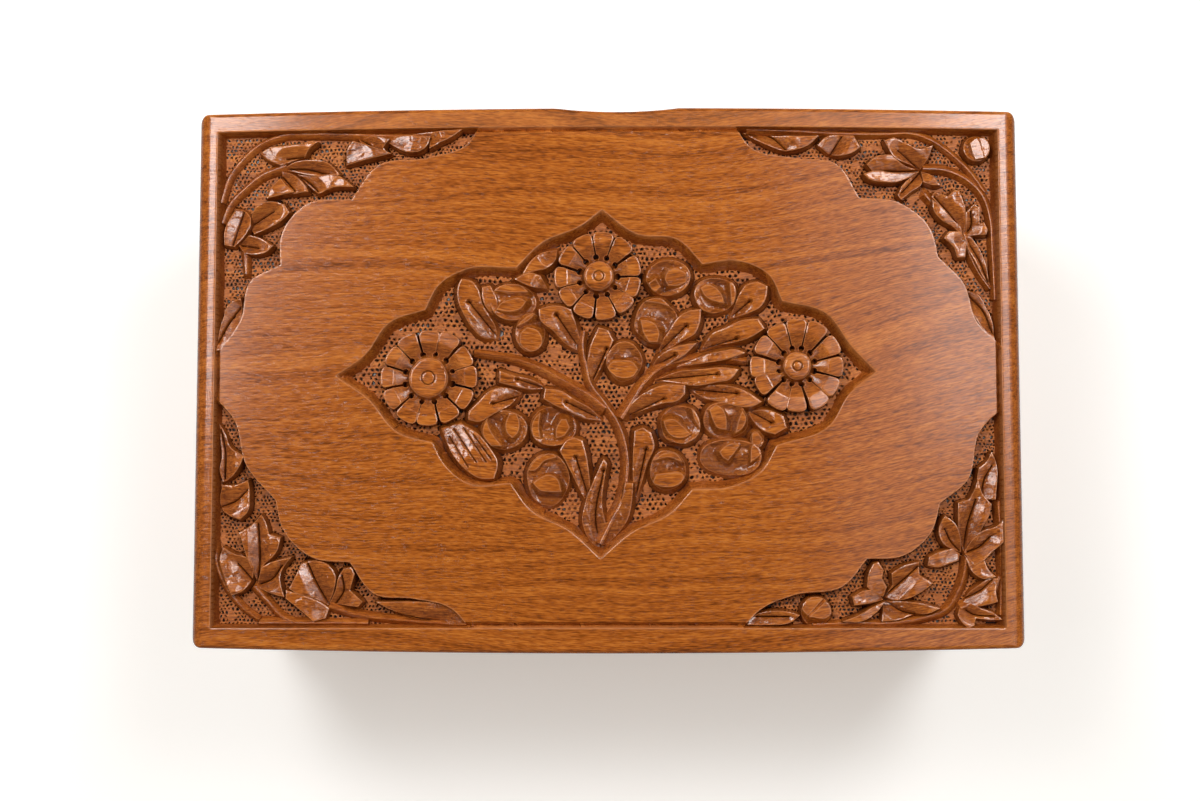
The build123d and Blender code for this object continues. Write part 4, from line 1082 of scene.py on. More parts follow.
# %% Places, sizes and flats of the buds
BUDS = [
    ((-29, 23.5), (7.0, 5.5),
     "-34,21 -32.5,23 -30,24 -27,24.5 -25,23.5 -26.5,21.5 -29.5,20.5 / -35,27 -32.5,29 -29.5,29.5 "
     "-26,28 -24.5,26.5 -29.5,26.5"),
    ((-23.5, 14), (4.5, 6.0),
     "-26.5,10.5 -26.5,13.5 -24.5,15.5 -21.5,14.5 -20,12 -20.5,8.5 -23,7.5 / -27.5,16 -25,18.5 "
     "-21.5,20.5 -24.5,17.5"),
    ((5.5, 5), (5.5, 6.0), "0,2.5 1.5,4.5 4,5 8,4.5 9.5,2.5 8,0.5 4,0"),
    ((15, 17.5), (6.5, 7.0),
     "10.5,17.5 12,17.5 14.5,16.5 16,13.5 15.5,11 13,11 11.5,13.5 / 11.5,23.5 15,25 19,24 20.5,21.5 "
     "16,23"),
    ((33.5, 25.5), (6.5, 5.5),
     "29,27.5 31,28.5 33.5,27.5 35.5,25 36,23 33.5,23.5 30.5,25 / 38,29 39.5,29.5 39.5,25 38.5,22"),
    ((19, 31), (6.5, 5.5),
     "19,33 21.5,33.5 24.5,32 24.5,29.5 22,28.5 19,28.5 18,30.5 / 13,29 15,30.5 16.5,28 14.5,26"),
    ((22.5, -14.5), (6.0, 6.0),
     "17.5,-13.5 20,-13 23.5,-15.5 25.5,-17.5 23.5,-18.5 20,-18 18,-15.5 / 26,-9.5 28,-12 28.5,-15.5 "
     "27,-13"),
    ((36.5, -13), (7.0, 5.5),
     "31.5,-10 33.5,-8.5 35.5,-10 36.5,-13 36.5,-16 34,-15.5 32.5,-13 / 41.5,-10.5 42.5,-12.5 "
     "41.5,-15.5 39.5,-17 40.5,-13"),
    ((46, -19), (2.0, 2.5), "44.5,-17.5 46,-17 47.5,-19 46.5,-21 44.5,-20.5"),
    ((38, -24.5), (9.5, 5.5),
     "34.5,-23 36,-21.5 38.5,-20.5 40.5,-21 39,-23 37,-25.5 35.5,-24.5 / 45,-20.5 47,-19.5 47.5,-22.5 "
     "44,-26"),
    ((18.5, -28.5), (5.5, 6.0),
     "14,-32.5 15,-30 19,-29.5 22.5,-29.5 24,-31 21.5,-33 17,-33.5 / 14.5,-25.5 17.5,-23.5 21,-23.5 "
     "23,-26 19,-24.5"),
    ((-31.5, -16), (7.0, 6.0),
     "-31,-14.5 -30,-11.5 -28,-11 -27,-13.5 -27.5,-17 -29,-18.5 -30.5,-17 / -38,-17 -37,-13 -36,-16 "
     "-32.5,-21 -35.5,-21"),
    ((-16.5, -15), (7.0, 6.0),
     "-15.5,-16 -14,-13 -12.5,-13 -11.5,-15.5 -13.5,-18 -15.5,-18.5 / -23,-15.5 -22,-12.5 -20.5,-11 "
     "-21,-15 -20.5,-18.5 -22.5,-18"),
    ((-18, -31), (6.5, 8.0),
     "-22.5,-32.5 -20.5,-31 -18,-30 -15.5,-31 -14,-35 -17,-35 -20.5,-34.5 / -24,-28.5 -22,-25.5 "
     "-17,-23 -15.5,-24.5 -19,-25.5 -22.5,-28.5"),
]
print(len(BUDS), "buds between the leaves")


# %% Carving the buds
# how much darker the low, pared parts of a bud are painted, as painted shade
BUD_LOW_SHADE = 0.35


def oval(middle, radii, count=26):
    """Places round an oval."""
    turn = np.linspace(0, 2 * pi, count, endpoint=False)
    return np.column_stack([middle[0] + radii[0] * np.cos(turn), middle[1] + radii[1] * np.sin(turn)])


def carved_bud(outline, flats, seed, flare=FLARE):
    """A bud's carved form, painted paler along the edges of its flats, partly from handling and partly as a
    painted highlight.
    """
    rub_and_highlight_lines = [looped(flat) for flat in flats]
    return carve(outline, bud_rule(flats, seed), rub_and_highlight_lines=rub_and_highlight_lines, low_shade=BUD_LOW_SHADE, flare=flare)


forms = []
for seed, (middle, radii, flats) in enumerate(BUDS):
    outline = oval(middle, radii)
    outline += (outline - middle) * 0.07 * wander(outline, 5, 40 + seed)[:, None]
    drawn["medallion"].append(outline)
    forms.append(carved_bud(outline, [smooth(places(text)) for text in flats.split(" / ")], seed))
make_carvings("medallion_buds", forms)

# %% [markdown]
# ## Corner leaves
# The four corners were cut by the same hand but never measured, so each has its own leaves. They are
# broader, in planes that meet at the vein, and the two sides of a leaf catch the light differently.

# %% Outlines of the corner leaves, inwards from the rim's inner corner
CORNER_LEAVES = {
    (-1, 1): [
        ("13,6 15.5,4.5 20.5,4 26,3.5 31,3 28.5,5 27,7.5 23.5,8.5 19.5,10 16,8.5", "26.5,7.5 21.5,8"),
        ("19.5,11 23.5,9 29,8.5 34.5,9.5 38,13 34,13.5 28.5,13 24,12", "21,11 26.5,11 35,13"),
        ("24.5,12.5 30.5,13.5 36.5,13 42.5,17 36.5,17 31.5,19 28.5,16.5", "25.5,13.5 28.5,15.5 31,18"),
        ("19.5,11.5 23.5,13 26.5,15.5 28.5,18.5 23.5,19 21,17", "20,13.5 24,18"),
        ("19.5,14 22,17 24,18.5 19.5,19.5 15.5,20.5 17,17", ""),
        ("40,10 40.5,4.5 42,2.5 45.5,3.5 50,5 54,6.5 50,7.5 45.5,8.5", ""),
        ("43.5,1.5 49,1 53.5,2 51.5,4.5 52.5,6 48.5,5 44.5,3", "44,1.5 47,3.5 50,6"),
        ("52.5,2.5 56,1 66,1.5 65.5,3.5 63.5,5.5 59,6 55.5,4.5", ""),
        ("60.5,0 68.5,-0.5 76,-1 72.5,1.5 68.5,3.5 66,5 66,2.5", "61.5,0.5 66,1.5"),
        ("5.5,23.5 8,24 10.5,26.5 10.5,29 8.5,32.5 5.5,35.5 2.5,35 2.5,30.5 4,26.5", "8,24.5 6.5,30 5,35"),
        ("10,29.5 11,25 13.5,22 17,21.5 21,22.5 22.5,25 20,27.5 15.5,30 11.5,31.5", "10,29 17.5,24.5"),
        ("6.5,35 10,32 13.5,33 17.5,35.5 16,37 12,38 8.5,37.5", "7.5,35 13,36"),
        ("7.5,51.5 8,55.5 7.5,60 6,64.5 3,67.5 0.5,68 1,63 2.5,57.5 4.5,53", "7.5,54.5 4,59.5 1,65.5"),
    ],
    (1, 1): [
        ("78.5,0 71.5,1 63.5,1.5 55.5,1.5 58,4 61.5,5.5 65.5,6 71.5,4", "77.5,0.5 70,1.5 65.5,5.5"),
        ("55.5,4 53.5,2 48.5,1 44.5,1.5 42.5,5 44.5,6.5 47.5,7.5 51.5,7", "48,1.5 51.5,7"),
        ("23.5,11.5 27.5,10 31.5,8.5 35,3 32,2 28,4 24,5.5 20,4.5 21.5,8.5", "24,11.5 30.5,6"),
        ("24,12 27.5,12.5 32.5,13 38.5,12.5 40.5,10.5 37.5,8 33,7.5 29,10.5", "24,12 32.5,12.5 38,12.5"),
        ("24,12.5 27.5,14.5 32,16 35.5,16 40,15 41.5,13.5 38.5,12.5 32.5,13", ""),
        ("23.5,12.5 22.5,14.5 24,17 27,19 30,21.5 31,20 29.5,17 27,14.5", "24,13 29.5,19"),
        ("23.5,12.5 21,13.5 18,17 20,17 23,16", ""),
        (
            "10.5,32.5 13.5,28 17,24 20.5,20.5 19.5,19 15.5,20.5 13.5,18.5 12,19 10.5,23.5 10,28",
            "11,31.5 14.5,26.5 19.5,20.5",
        ),
        ("11,33 14,30 17.5,28 20,25 20.5,21.5 17.5,24 14,28 11.5,30.5", ""),
        ("10.5,33.5 10.5,39.5 13,39.5 14,36.5 17,33.5 15.5,31.5 12,31.5", ""),
        ("10,32.5 10,25.5 7.5,23 6,24 6,29 4.5,29 3.5,31 4,32.5", "10,32 8.5,30 8.5,25"),
        ("10.5,32.5 8.5,33 6,37 4,42.5 3,48 5,45.5 7.5,40.5 9.5,36.5", "10,33.5 6.5,39.5 3.5,47"),
        ("10.5,49.5 6.5,51 4.5,54.5 2.5,59.5 2,65 5,62.5 8,58 9.5,54.5", "9.5,51 5.5,55.5 2.5,63"),
    ],
    (-1, -1): [
        ("1.5,62.5 3.5,59 5,55.5 9.5,52.5 8,49 5.5,46 3,44.5 2,48 2.5,51.5 2,57.5", "2,60.5 3.5,54 3.5,45.5"),
        ("2,39.5 3,43.5 7,43.5 11,45 11.5,40 11,35.5 8.5,33 5,34.5 2.5,36.5", "2.5,37 7.5,39 10.5,42"),
        (
            "14,13.5 12,18.5 10.5,22.5 8.5,29 11,30.5 15,34.5 16.5,32 17.5,28.5 21,27.5 20,23.5 18,21 "
            "15.5,19",
            "14,14 14.5,20 14.5,25 14,31.5",
        ),
        ("13,18.5 12,14 10,11.5 6.5,10 5,13 3.5,17 2.5,21.5 3.5,24.5 7,22.5 10.5,21.5", "12.5,14.5 8,19.5"),
        (
            "13.5,12.5 15.5,18.5 18.5,20 24.5,21.5 22,18.5 21,16 21.5,12.5 22.5,9.5 18.5,10.5",
            "14,13 18.5,15 21.5,19",
        ),
        (
            "35.5,7 31.5,9 26.5,10.5 24,12 26,16 27.5,19.5 31.5,20.5 36,19 38,16 37.5,11.5",
            "35.5,7.5 32,14 29.5,19.5",
        ),
        (
            "36,7.5 38,11.5 39,15.5 40.5,18 43,18.5 44,16.5 42.5,11.5 46.5,8 45,6.5 40.5,7",
            "38,7.5 40.5,11.5 40,16",
        ),
        ("36,6 35,3 31.5,2 27.5,5.5 23,9 23,11.5 28,10 33,8", ""),
        ("79,1 69.5,2 62,3 56.5,5 50.5,8 57,8 64,8 70,7.5 75,5", "57,4.5 63.5,3 71,2"),
    ],
    (1, -1): [
        ("7,39 8,44.5 7.5,48.5 5,50.5 3.5,53.5 2,50 2,44.5 2.5,39", "6.5,41 5.5,45.5 3.5,49"),
        (
            "12,23 13.5,27.5 14,33 14,38 10.5,39 9,42 8,45 6.5,40.5 4,37.5 5,33.5 7,30 8.5,26",
            "12,24 11,31 8.5,39",
        ),
        ("12,23 9.5,27 6.5,29.5 3,30.5 0.5,32.5 0.5,26 4,23 6.5,20.5 9.5,19", "11,23 7.5,24.5 4.5,27.5"),
        ("12,22 9,19.5 6.5,21 5,17.5 3,15.5 7,15 9.5,16.5", ""),
        ("13,23 16,24 18.5,25.5 20,29 19,32.5 18,34 15,31.5 13.5,28", "13.5,23.5 16,26 18,30"),
        ("13.5,22.5 14,20.5 17,19.5 21,18.5 23.5,19 23,21.5 20,23 16,24", ""),
        ("12.5,7.5 11,10.5 8,13 4.5,15 2,15 3,11.5 2.5,8 6,7 9.5,6.5", "12,9 8,11 4,14.5"),
        (
            "13.5,6.5 10.5,7.5 7.5,6 3.5,4.5 1,2.5 5,2.5 9,3 9.5,1 11.5,0 13.5,2 14.5,4",
            "13,6.5 10.5,4.5 3.5,3.5",
        ),
        ("37,9.5 40.5,11 42,12.5 41.5,16.5 40,19.5 38.5,20 37,17.5 37.5,15 36,12.5", ""),
        ("37,8.5 41.5,7.5 46,7 46.5,9.5 42,11.5 38.5,10.5", ""),
        (
            "36.5,9.5 34,13 34.5,16.5 31.5,18.5 26,20 26,16 22,13.5 25.5,11 29.5,9 34,8.5",
            "36.5,9.5 32,13.5 26.5,18.5",
        ),
        ("36.5,8 31,8 26,7.5 20,6 23.5,4.5 28,4 32.5,2.5 37.5,2 37,5.5", "36,8 31,5 26,4"),
        ("36.5,8 39,5 44,2 49.5,2 44.5,4 41,6", ""),
        ("77.5,3.5 72.5,5 66.5,5 62.5,4 65,2 72.5,1 78.5,1", "75.5,3.5 66,3.5"),
    ],
}
CORNER_BUDS = {
    (1, 1): ((6.5, 5.5), (4, 4), "8.5,4 6.5,2.5 5.5,4.5 4.5,8.5 7,9 8,6 / 5.5,2.5 2,2.5 2.5,8.5 4,8.5"),
    (1, -1): ((57.5, 5), (4.5, 4.5), "61.5,8 55.5,9 60,4 61.5,5.5 / 54.5,8 52.5,5.5 54,3.5 59.5,3.5"),
}
CORNER_NAMES = {(-1, 1): "front_left", (1, 1): "front_right", (-1, -1): "rear_left", (1, -1): "rear_right"}
print({CORNER_NAMES[corner]: len(leaves) for corner, leaves in CORNER_LEAVES.items()})

# %% Carving the corners
for n, (corner, entries) in enumerate(CORNER_LEAVES.items()):
    first = 100 * (n + 1)
    leaves = [carved_leaf(entry, facet_rule, seed, corner) for seed, entry in enumerate(entries, first)]
    drawn[corner], forms = [smooth(outline) for outline, _ in leaves], [form for _, form in leaves]
    if corner in CORNER_BUDS:
        middle, radii, flats = CORNER_BUDS[corner]
        outline = oval(from_corner(np.array(middle), corner), radii)
        flats = [smooth(from_corner(places(text), corner)) for text in flats.split(" / ")]
        drawn[corner].append(outline)
        forms.append(carved_bud(outline, flats, n, CORNER_FLARE))
    make_carvings(f"{CORNER_NAMES[corner]}_leaves", forms)

# %% [markdown]
# ## Growing pieces with geometry trees
# What repeats or follows a path is grown by a geometry tree: stems along their lines, petals round a
# flower, and the punch marks of the ground. A tree is made once and run on several starts. Its named inputs
# are set by their identifiers, it ends in Realize Instances and Set Material, and its result is kept as a
# plain mesh.

# %% Making and running a geometry tree
def new_tree(name, inputs):
    """A geometry tree and the sockets it is given, from its inputs as (name, kind, value)."""
    tree = bpy.data.node_groups.new(name, "GeometryNodeTree")
    tree.interface.new_socket("Geometry", in_out="INPUT", socket_type="NodeSocketGeometry")
    tree.interface.new_socket("Geometry", in_out="OUTPUT", socket_type="NodeSocketGeometry")
    for label, kind, value in inputs:
        socket = tree.interface.new_socket(label, in_out="INPUT", socket_type="NodeSocket" + kind)
        if value is not None:
            socket.default_value = value
    return tree, tree.nodes.new("NodeGroupInput").outputs


def finish_tree(tree, geometry, wood):
    """The tree's last nodes."""
    real = add(tree, "GeometryNodeRealizeInstances", [(0, geometry)])
    coated = add(tree, "GeometryNodeSetMaterial", [(0, real), ("Material", wood)])
    add(tree, "NodeGroupOutput", [(0, coated)])
    print(tree.name, "is a tree of", len(tree.nodes), "nodes")


def grow(name, tree, start, **values):
    """Runs the tree on a mesh or curve and gives the result as an object with a plain mesh."""
    seed_object = bpy.data.objects.new(name + "_start", start)
    scene.collection.objects.link(seed_object)
    modifier = seed_object.modifiers.new("grow", "NODES")
    modifier.node_group = tree
    for socket in tree.interface.items_tree:
        label = socket.name.replace(" ", "_")
        if socket.in_out == "INPUT" and label in values:
            modifier[socket.identifier] = values[label]
    graph = bpy.context.evaluated_depsgraph_get()
    mesh = bpy.data.meshes.new_from_object(seed_object.evaluated_get(graph))
    mesh.name = name
    bpy.data.objects.remove(seed_object)
    return bpy.data.objects.new(name, mesh)


# %% [markdown]
# ## Stems
# A stem is a ribbon with a ridge: its left face is broad and its right face steep. It tapers along its
# line. Curve to Mesh sweeps one profile along every line of an area at once, and whatever is swept lower
# than the foot is lifted to it.

# %% Lines of the stems, those of the corners inwards from the rim's inner corner
STEMS = {
    "medallion": [
        "-2,-51 1.5,-44 4.5,-38 6,-31 6,-23 3.5,-14.5 -1,-7.5 -5,-2 -6.5,4 -7.5,9.5 -7,14.5",
        "-0.5,-9.5 -5.5,-5.5 -11.5,-2 -19.5,2.5 -27,5.5 -34,7 -41,8",
        "4.5,-12.5 8,-7 12,-1 16.5,3 24.5,5.5 32.5,6 43,5",
    ],
    (-1, 1): [
        "66,1 49.5,0.5 30.5,0 19.5,0.5 12.5,3.5 7.5,8 3.5,13.5 1,21.5",
        "21,10 13.5,13 8,17.5 3.5,22.5 1.5,28",
        "8.5,36.5 9,44",
    ],
    (1, 1): [
        "77.5,-1 63.5,-0.5 44.5,0.5 33.5,0.5 26,0.5 19.5,3 13.5,7.5 8.5,12.5 4,19",
        "23,11.5 16,12 9.5,15 5,19.5 2.5,27 2,36.5 1.5,52.5",
        "10.5,32 9,38 6,44.5 3,49",
        "22.5,19.5 20,22.5 16.5,25",
    ],
    (-1, -1): [
        "0,26.5 1.5,18.5 4.5,12 9,6.5 14.5,2.5",
        "13,12.5 17,8 21.5,3.5 26,1.5",
        "36,6.5 44.5,4 55.5,2.5 69.5,1.5 78,1",
        "14.5,1.5 32.5,1.5 48,1.5",
    ],
    (1, -1): [
        "11.5,21.5 12.5,15.5 14.5,10.5 17.5,6 25,3 34,1.5 46.5,1.5 58.5,1",
        "1.5,38.5 1,26 1,14 1.5,4",
        "13.5,6 8,8 3,11 1.5,15.5",
    ],
}
print(sum(map(len, STEMS.values())), "stems")

# %% The tree for stems
stem_tree, given = new_tree(
    "stems",
    [("Root Width", "Float", 0.0015), ("Tip Width", "Float", 0.0006), ("Foot", "Float", 0.09525),
     ("Profile", "Object", None), ("Wood", "Material", None)],
)
even = add(stem_tree, "GeometryNodeResampleCurve",
           [(0, given["Geometry"]), ("Length", 0.7 * MM)], mode="LENGTH")
upright = add(stem_tree, "GeometryNodeSetCurveNormal", [(0, even)], mode="Z_UP")
along = add(stem_tree, "GeometryNodeSplineParameter")
width = add(stem_tree, "ShaderNodeMapRange",
            [(0, along.outputs["Factor"]), (3, given["Root Width"]), (4, given["Tip Width"])])
sized = add(stem_tree, "GeometryNodeSetCurveRadius", [(0, upright), ("Radius", width)])
profile = add(stem_tree, "GeometryNodeObjectInfo", [("Object", given["Profile"])])
radius = add(stem_tree, "GeometryNodeInputRadius")
swept = add(stem_tree, "GeometryNodeCurveToMesh",
            [(0, sized), (1, profile.outputs["Geometry"]), ("Scale", radius), ("Fill Caps", True)])
spot = add(stem_tree, "ShaderNodeSeparateXYZ", [(0, add(stem_tree, "GeometryNodeInputPosition"))])
lifted = add(stem_tree, "ShaderNodeMath", [(0, spot.outputs["Z"]), (1, given["Foot"])], operation="MAXIMUM")
kept = add(stem_tree, "ShaderNodeCombineXYZ", [(0, spot.outputs["X"]), (1, spot.outputs["Y"]), (2, lifted)])
footed = add(stem_tree, "GeometryNodeSetPosition", [(0, swept), ("Position", kept)])
finish_tree(stem_tree, footed, given["Wood"])

# %% A ridge to sweep, and lines to sweep it along
RIDGE = [  # across and down, in stem widths; its ends hang far down and are lifted to the foot
    (-1.7, 30, 0), (-1.6, 1.6, 0), (-0.95, 0.75, 0), (-0.22, 0.06, 0), (0, 0, 0),
    (0.22, 0.06, 0), (0.7, 0.75, 0), (1.3, 1.6, 0), (1.4, 30, 0),
]
STEM_DEPTH, CORNER_STEM_DEPTH, STEM_SAG = 1.5, 1.9, 0.25


def curve_of(name, lines, closed=False):
    """A curve object's data, with one spline of straight stretches for each line."""
    curve = bpy.data.curves.new(name, "CURVE")
    curve.dimensions = "3D"
    for line in lines:
        spline = curve.splines.new("POLY")
        spline.points.add(len(line) - 1)
        spline.points.foreach_set("co", np.column_stack([line, np.ones(len(line))]).ravel())
        spline.points.foreach_set("radius", np.ones(len(line)))
        spline.use_cyclic_u = closed
    return curve


ridge_line = curve_of("ridge_profile", [np.array(RIDGE, float)], closed=True)
ridge = bpy.data.objects.new("ridge_profile", ridge_line)
print("a stem's ridge has", len(RIDGE), "places")

# %% Growing the stems
for area, texts in STEMS.items():
    name, depth, widths = "medallion_stems", STEM_DEPTH, (1.9, 0.9)
    if area != "medallion":
        name, depth, widths = f"{CORNER_NAMES[area]}_stems", CORNER_STEM_DEPTH, (1.3, 0.75)
    lines = []
    for text in texts:
        line = smooth(places(text) if area == "medallion" else from_corner(places(text), area), closed=False)
        dip = -depth - STEM_SAG * np.sin(np.linspace(0, 3, len(line)))
        lines.append(in_frame(np.column_stack([line, dip])))
    stems = grow(name, stem_tree, curve_of(name, lines), Root_Width=widths[0] * MM, Tip_Width=widths[1] * MM,
                 Foot=board_high.z + FOOT * MM, Profile=ridge, Wood=cut_walnut)
    adopt(stems, cut_walnut, "lid")

# %% [markdown]
# ## Flowers
# Three flowers, each a disc with a small ring cut in it and eleven or twelve petals round it. A petal keeps
# a flat end and slopes to the disc. Between two petals is a V, with a drilled hole where it reaches the
# disc. One petal is carved, and a tree sets copies of it round the disc, each turned, tipped and sized a
# little differently.

# %% Sizes of the flowers and outline of a petal
FLOWERS = {  # middle, radius of the disc, radius over the petals, petals
    "left": ((-55, 0), 6.0, 15.0, 12),
    "front": ((-2.5, 31.5), 4.5, 13.5, 11),
    "right": ((58.5, 3.5), 4.2, 14.5, 12),
}
HOLE_RADIUS, HOLE_OUT, PETAL_GAP = 0.95, 1.3, 0.26  # a hole's middle is HOLE_OUT from the disc


def petal_outline(disc, outer, count):
    """One petal that points to the right, with half a drilled hole out of each inner corner."""
    half, middle = pi / count, disc + HOLE_OUT
    rows = np.linspace(middle + HOLE_RADIUS, outer - 2.3, 5)
    side = [(r, r * np.tan(half) - PETAL_GAP / cos(half)) for r in rows]
    width = side[-1][1]
    end = [(outer - 1.3, width * 1.03), (outer - 0.5, width * 0.88), (outer - 0.1, width * 0.5)]
    notch = [(middle + HOLE_RADIUS * cos(angle), middle * np.tan(half) - HOLE_RADIUS * sin(angle))
             for angle in (pi * 0.93, pi * 0.7, pi * 0.45, pi * 0.22)]
    upper = [(disc + 0.2, notch[0][1])] + notch + side + end
    return np.array(upper + [(outer, 0)] + [(x, -y) for x, y in upper[::-1]])


print("a petal of the left flower is drawn with", len(petal_outline(6.0, 15.0, 12)), "places")

# %% The tree for petals
petal_tree, given = new_tree(
    "petals",
    [("Petals", "Int", 12), ("Middle", "Vector", None), ("Unevenness", "Float", 0.04), ("Seed", "Int", 1),
     ("Wood", "Material", None)],
)
spots = add(petal_tree, "GeometryNodePoints", [("Count", given["Petals"]), ("Position", given["Middle"])])
index = add(petal_tree, "GeometryNodeInputIndex")
share = add(petal_tree, "ShaderNodeMath", [(0, index), (1, given["Petals"])], operation="DIVIDE")
turn = add(petal_tree, "ShaderNodeMath", [(0, share), (1, 2 * pi)], operation="MULTIPLY")
less = add(petal_tree, "ShaderNodeMath", [(0, 0.0), (1, given["Unevenness"])], operation="SUBTRACT")
odd = add(petal_tree, "FunctionNodeRandomValue",
          [(2, less), (3, given["Unevenness"]), ("Seed", given["Seed"])], data_type="FLOAT")
turned = add(petal_tree, "ShaderNodeMath", [(0, turn), (1, odd.outputs[1])], operation="ADD")
tip = add(petal_tree, "FunctionNodeRandomValue", [(2, -0.09), (3, 0.09), ("Seed", 21)], data_type="FLOAT")
facing = add(petal_tree, "ShaderNodeCombineXYZ", [(0, tip.outputs[1]), (2, turned)])
size = add(petal_tree, "FunctionNodeRandomValue",
           [(2, 0.96), (3, 1.02), ("Seed", given["Seed"])], data_type="FLOAT")
copies = add(petal_tree, "GeometryNodeInstanceOnPoints",
             [("Points", spots), ("Instance", given["Geometry"]), ("Rotation", facing),
              ("Scale", size.outputs[1])])
finish_tree(petal_tree, copies, given["Wood"])

# %% Height rules of a flower
RING_SHARE = 0.34  # the ring cut in a disc, against the disc's own radius


def petal_slope(u, disc, outer):
    """How far down its slope a place of a petal is, from 0 on the flat end to 1 at the disc."""
    flat_from = disc + 0.56 * (outer - disc)
    return np.clip((flat_from - u) / (flat_from - disc), 0, 1)


def petal_rule(disc, outer):
    """A flat end that slopes to the disc, with its sides a little lower than its middle."""
    def height(p, gap):
        share = petal_slope(p[:, 0], disc, outer)
        return -0.3 - 2.3 * share**0.85 - 0.3 * share * np.abs(p[:, 1]) - rub(gap)

    return height


def disc_rule(middle, disc):
    """A flat disc with a ring cut in it and its edge rounded."""
    def height(p, gap):
        away = np.linalg.norm(p - np.array(middle), axis=1)
        return -0.2 - 0.35 * nearness(np.abs(away - RING_SHARE * disc), 0.35) - 0.5 * nearness(gap, 0.5)

    return height


print("where it meets the disc a petal is at", petal_rule(6.0, 15.0)(np.array([[6.0, 0.0]]), 1.0)[0], "mm")

# %% Growing the flowers
for seed, (name, (middle, disc, outer, count)) in enumerate(FLOWERS.items()):
    points, faces, wear_and_shading = carve(petal_outline(disc, outer, count), petal_rule(disc, outer), flare=0.55)
    # painted shade: a petal's slope is painted darker the lower it lies towards the disc
    slope_shade = np.minimum(wear_and_shading, -0.5 * petal_slope(points[:, 0], disc, outer))
    petal = mesh_of("petal", points * MM, faces, np.where(wear_and_shading > 0, wear_and_shading, slope_shade))
    spot = tuple(in_frame([(*middle, 0)])[0])
    petals = grow(f"{name}_petals", petal_tree, petal,
                  Petals=count, Middle=spot, Seed=seed + 2, Wood=cut_walnut)
    adopt(petals, cut_walnut, "lid")
    drawn["medallion"].append(oval(middle, (outer - 1.6, outer - 1.6), 60))

    outline = oval(middle, (disc, disc), 13)
    outline += np.random.default_rng(seed).uniform(-0.12, 0.12, outline.shape) * disc / 5
    ring = looped(oval(middle, (RING_SHARE * disc, RING_SHARE * disc), 30))
    make_carvings(f"{name}_disc", [carve(outline, disc_rule(middle, disc), [ring])])

# %% [markdown]
# ## Punched ground
# The sunk ground is matted with a pointed punch, row by row, to hide the gouge marks and set off the
# leaves. The tree lays out six-sided tiles, each with one mark in it, keeps those near the open ground,
# joins them into one sheet and then lets it all wander, so that no mark is round or in line.

# %% The tree for the ground: where the tiles go
ROW_SHARE = 3**0.5 / 2  # how far apart rows of six-sided tiles are, against the pitch

matting, given = new_tree(
    "punched_ground",
    [("Pitch", "Float", 0.0016), ("Mark Width", "Float", 0.00115), ("Mark Depth", "Float", 0.0012),
     ("Reach", "Float", 0.0007), ("Wander", "Float", 0.0009), ("Wood", "Material", None)],
)
extent = add(matting, "GeometryNodeBoundBox", [(0, given["Geometry"])])
ends = [(0, extent.outputs["Max"]), (1, extent.outputs["Min"])]
size = add(matting, "ShaderNodeVectorMath", ends, operation="SUBTRACT")
split = add(matting, "ShaderNodeSeparateXYZ", [(0, size)])
row_gap = add(matting, "ShaderNodeMath", [(0, given["Pitch"]), (1, ROW_SHARE)], operation="MULTIPLY")
counts, sizes = [], []
for side, gap in (("X", given["Pitch"]), ("Y", row_gap.outputs[0])):
    share = add(matting, "ShaderNodeMath", [(0, split.outputs[side]), (1, gap)], operation="DIVIDE")
    whole = add(matting, "ShaderNodeMath", [(0, share)], operation="CEIL")
    steps = add(matting, "ShaderNodeMath", [(0, whole), (1, 2)], operation="ADD")
    counts.append(add(matting, "ShaderNodeMath", [(0, steps), (1, 1)], operation="ADD"))
    sizes.append(add(matting, "ShaderNodeMath", [(0, steps), (1, gap)], operation="MULTIPLY"))
lattice = add(matting, "GeometryNodeMeshGrid",
              [("Size X", sizes[0]), ("Size Y", sizes[1]),
               ("Vertices X", counts[0]), ("Vertices Y", counts[1])])
index = add(matting, "GeometryNodeInputIndex")
row = add(matting, "ShaderNodeMath", [(0, index), (1, counts[1])], operation="MODULO")
every_other = add(matting, "ShaderNodeMath", [(0, row), (1, 2)], operation="MODULO")
shift = add(matting, "ShaderNodeMath", [(0, every_other), (1, given["Pitch"])], operation="MULTIPLY")
half_shift = add(matting, "ShaderNodeMath", [(0, shift), (1, 0.5)], operation="MULTIPLY")
sideways = add(matting, "ShaderNodeCombineXYZ", [(0, half_shift)])
total = add(matting, "ShaderNodeVectorMath", ends, operation="ADD")
centre = add(matting, "ShaderNodeVectorMath", [(0, total), ("Scale", 0.5)], operation="SCALE")
offset = add(matting, "ShaderNodeVectorMath", [(0, centre), (1, sideways)], operation="ADD")
laid = add(matting, "GeometryNodeSetPosition", [(0, lattice), ("Offset", offset)])
to_open = add(matting, "GeometryNodeProximity", [(0, given["Geometry"])], target_element="FACES")
too_far = add(matting, "FunctionNodeCompare", [(0, to_open.outputs["Distance"]), (1, given["Reach"])],
              data_type="FLOAT", operation="GREATER_THAN")
marks = add(matting, "GeometryNodeDeleteGeometry", [(0, laid), (1, too_far)], domain="POINT")
print("the tiles are laid out by", len(matting.nodes), "nodes")

# %% One tile with its mark
SIX_SIDED = 1 / 3**0.5  # a tile's corners are this far from its middle, against the pitch

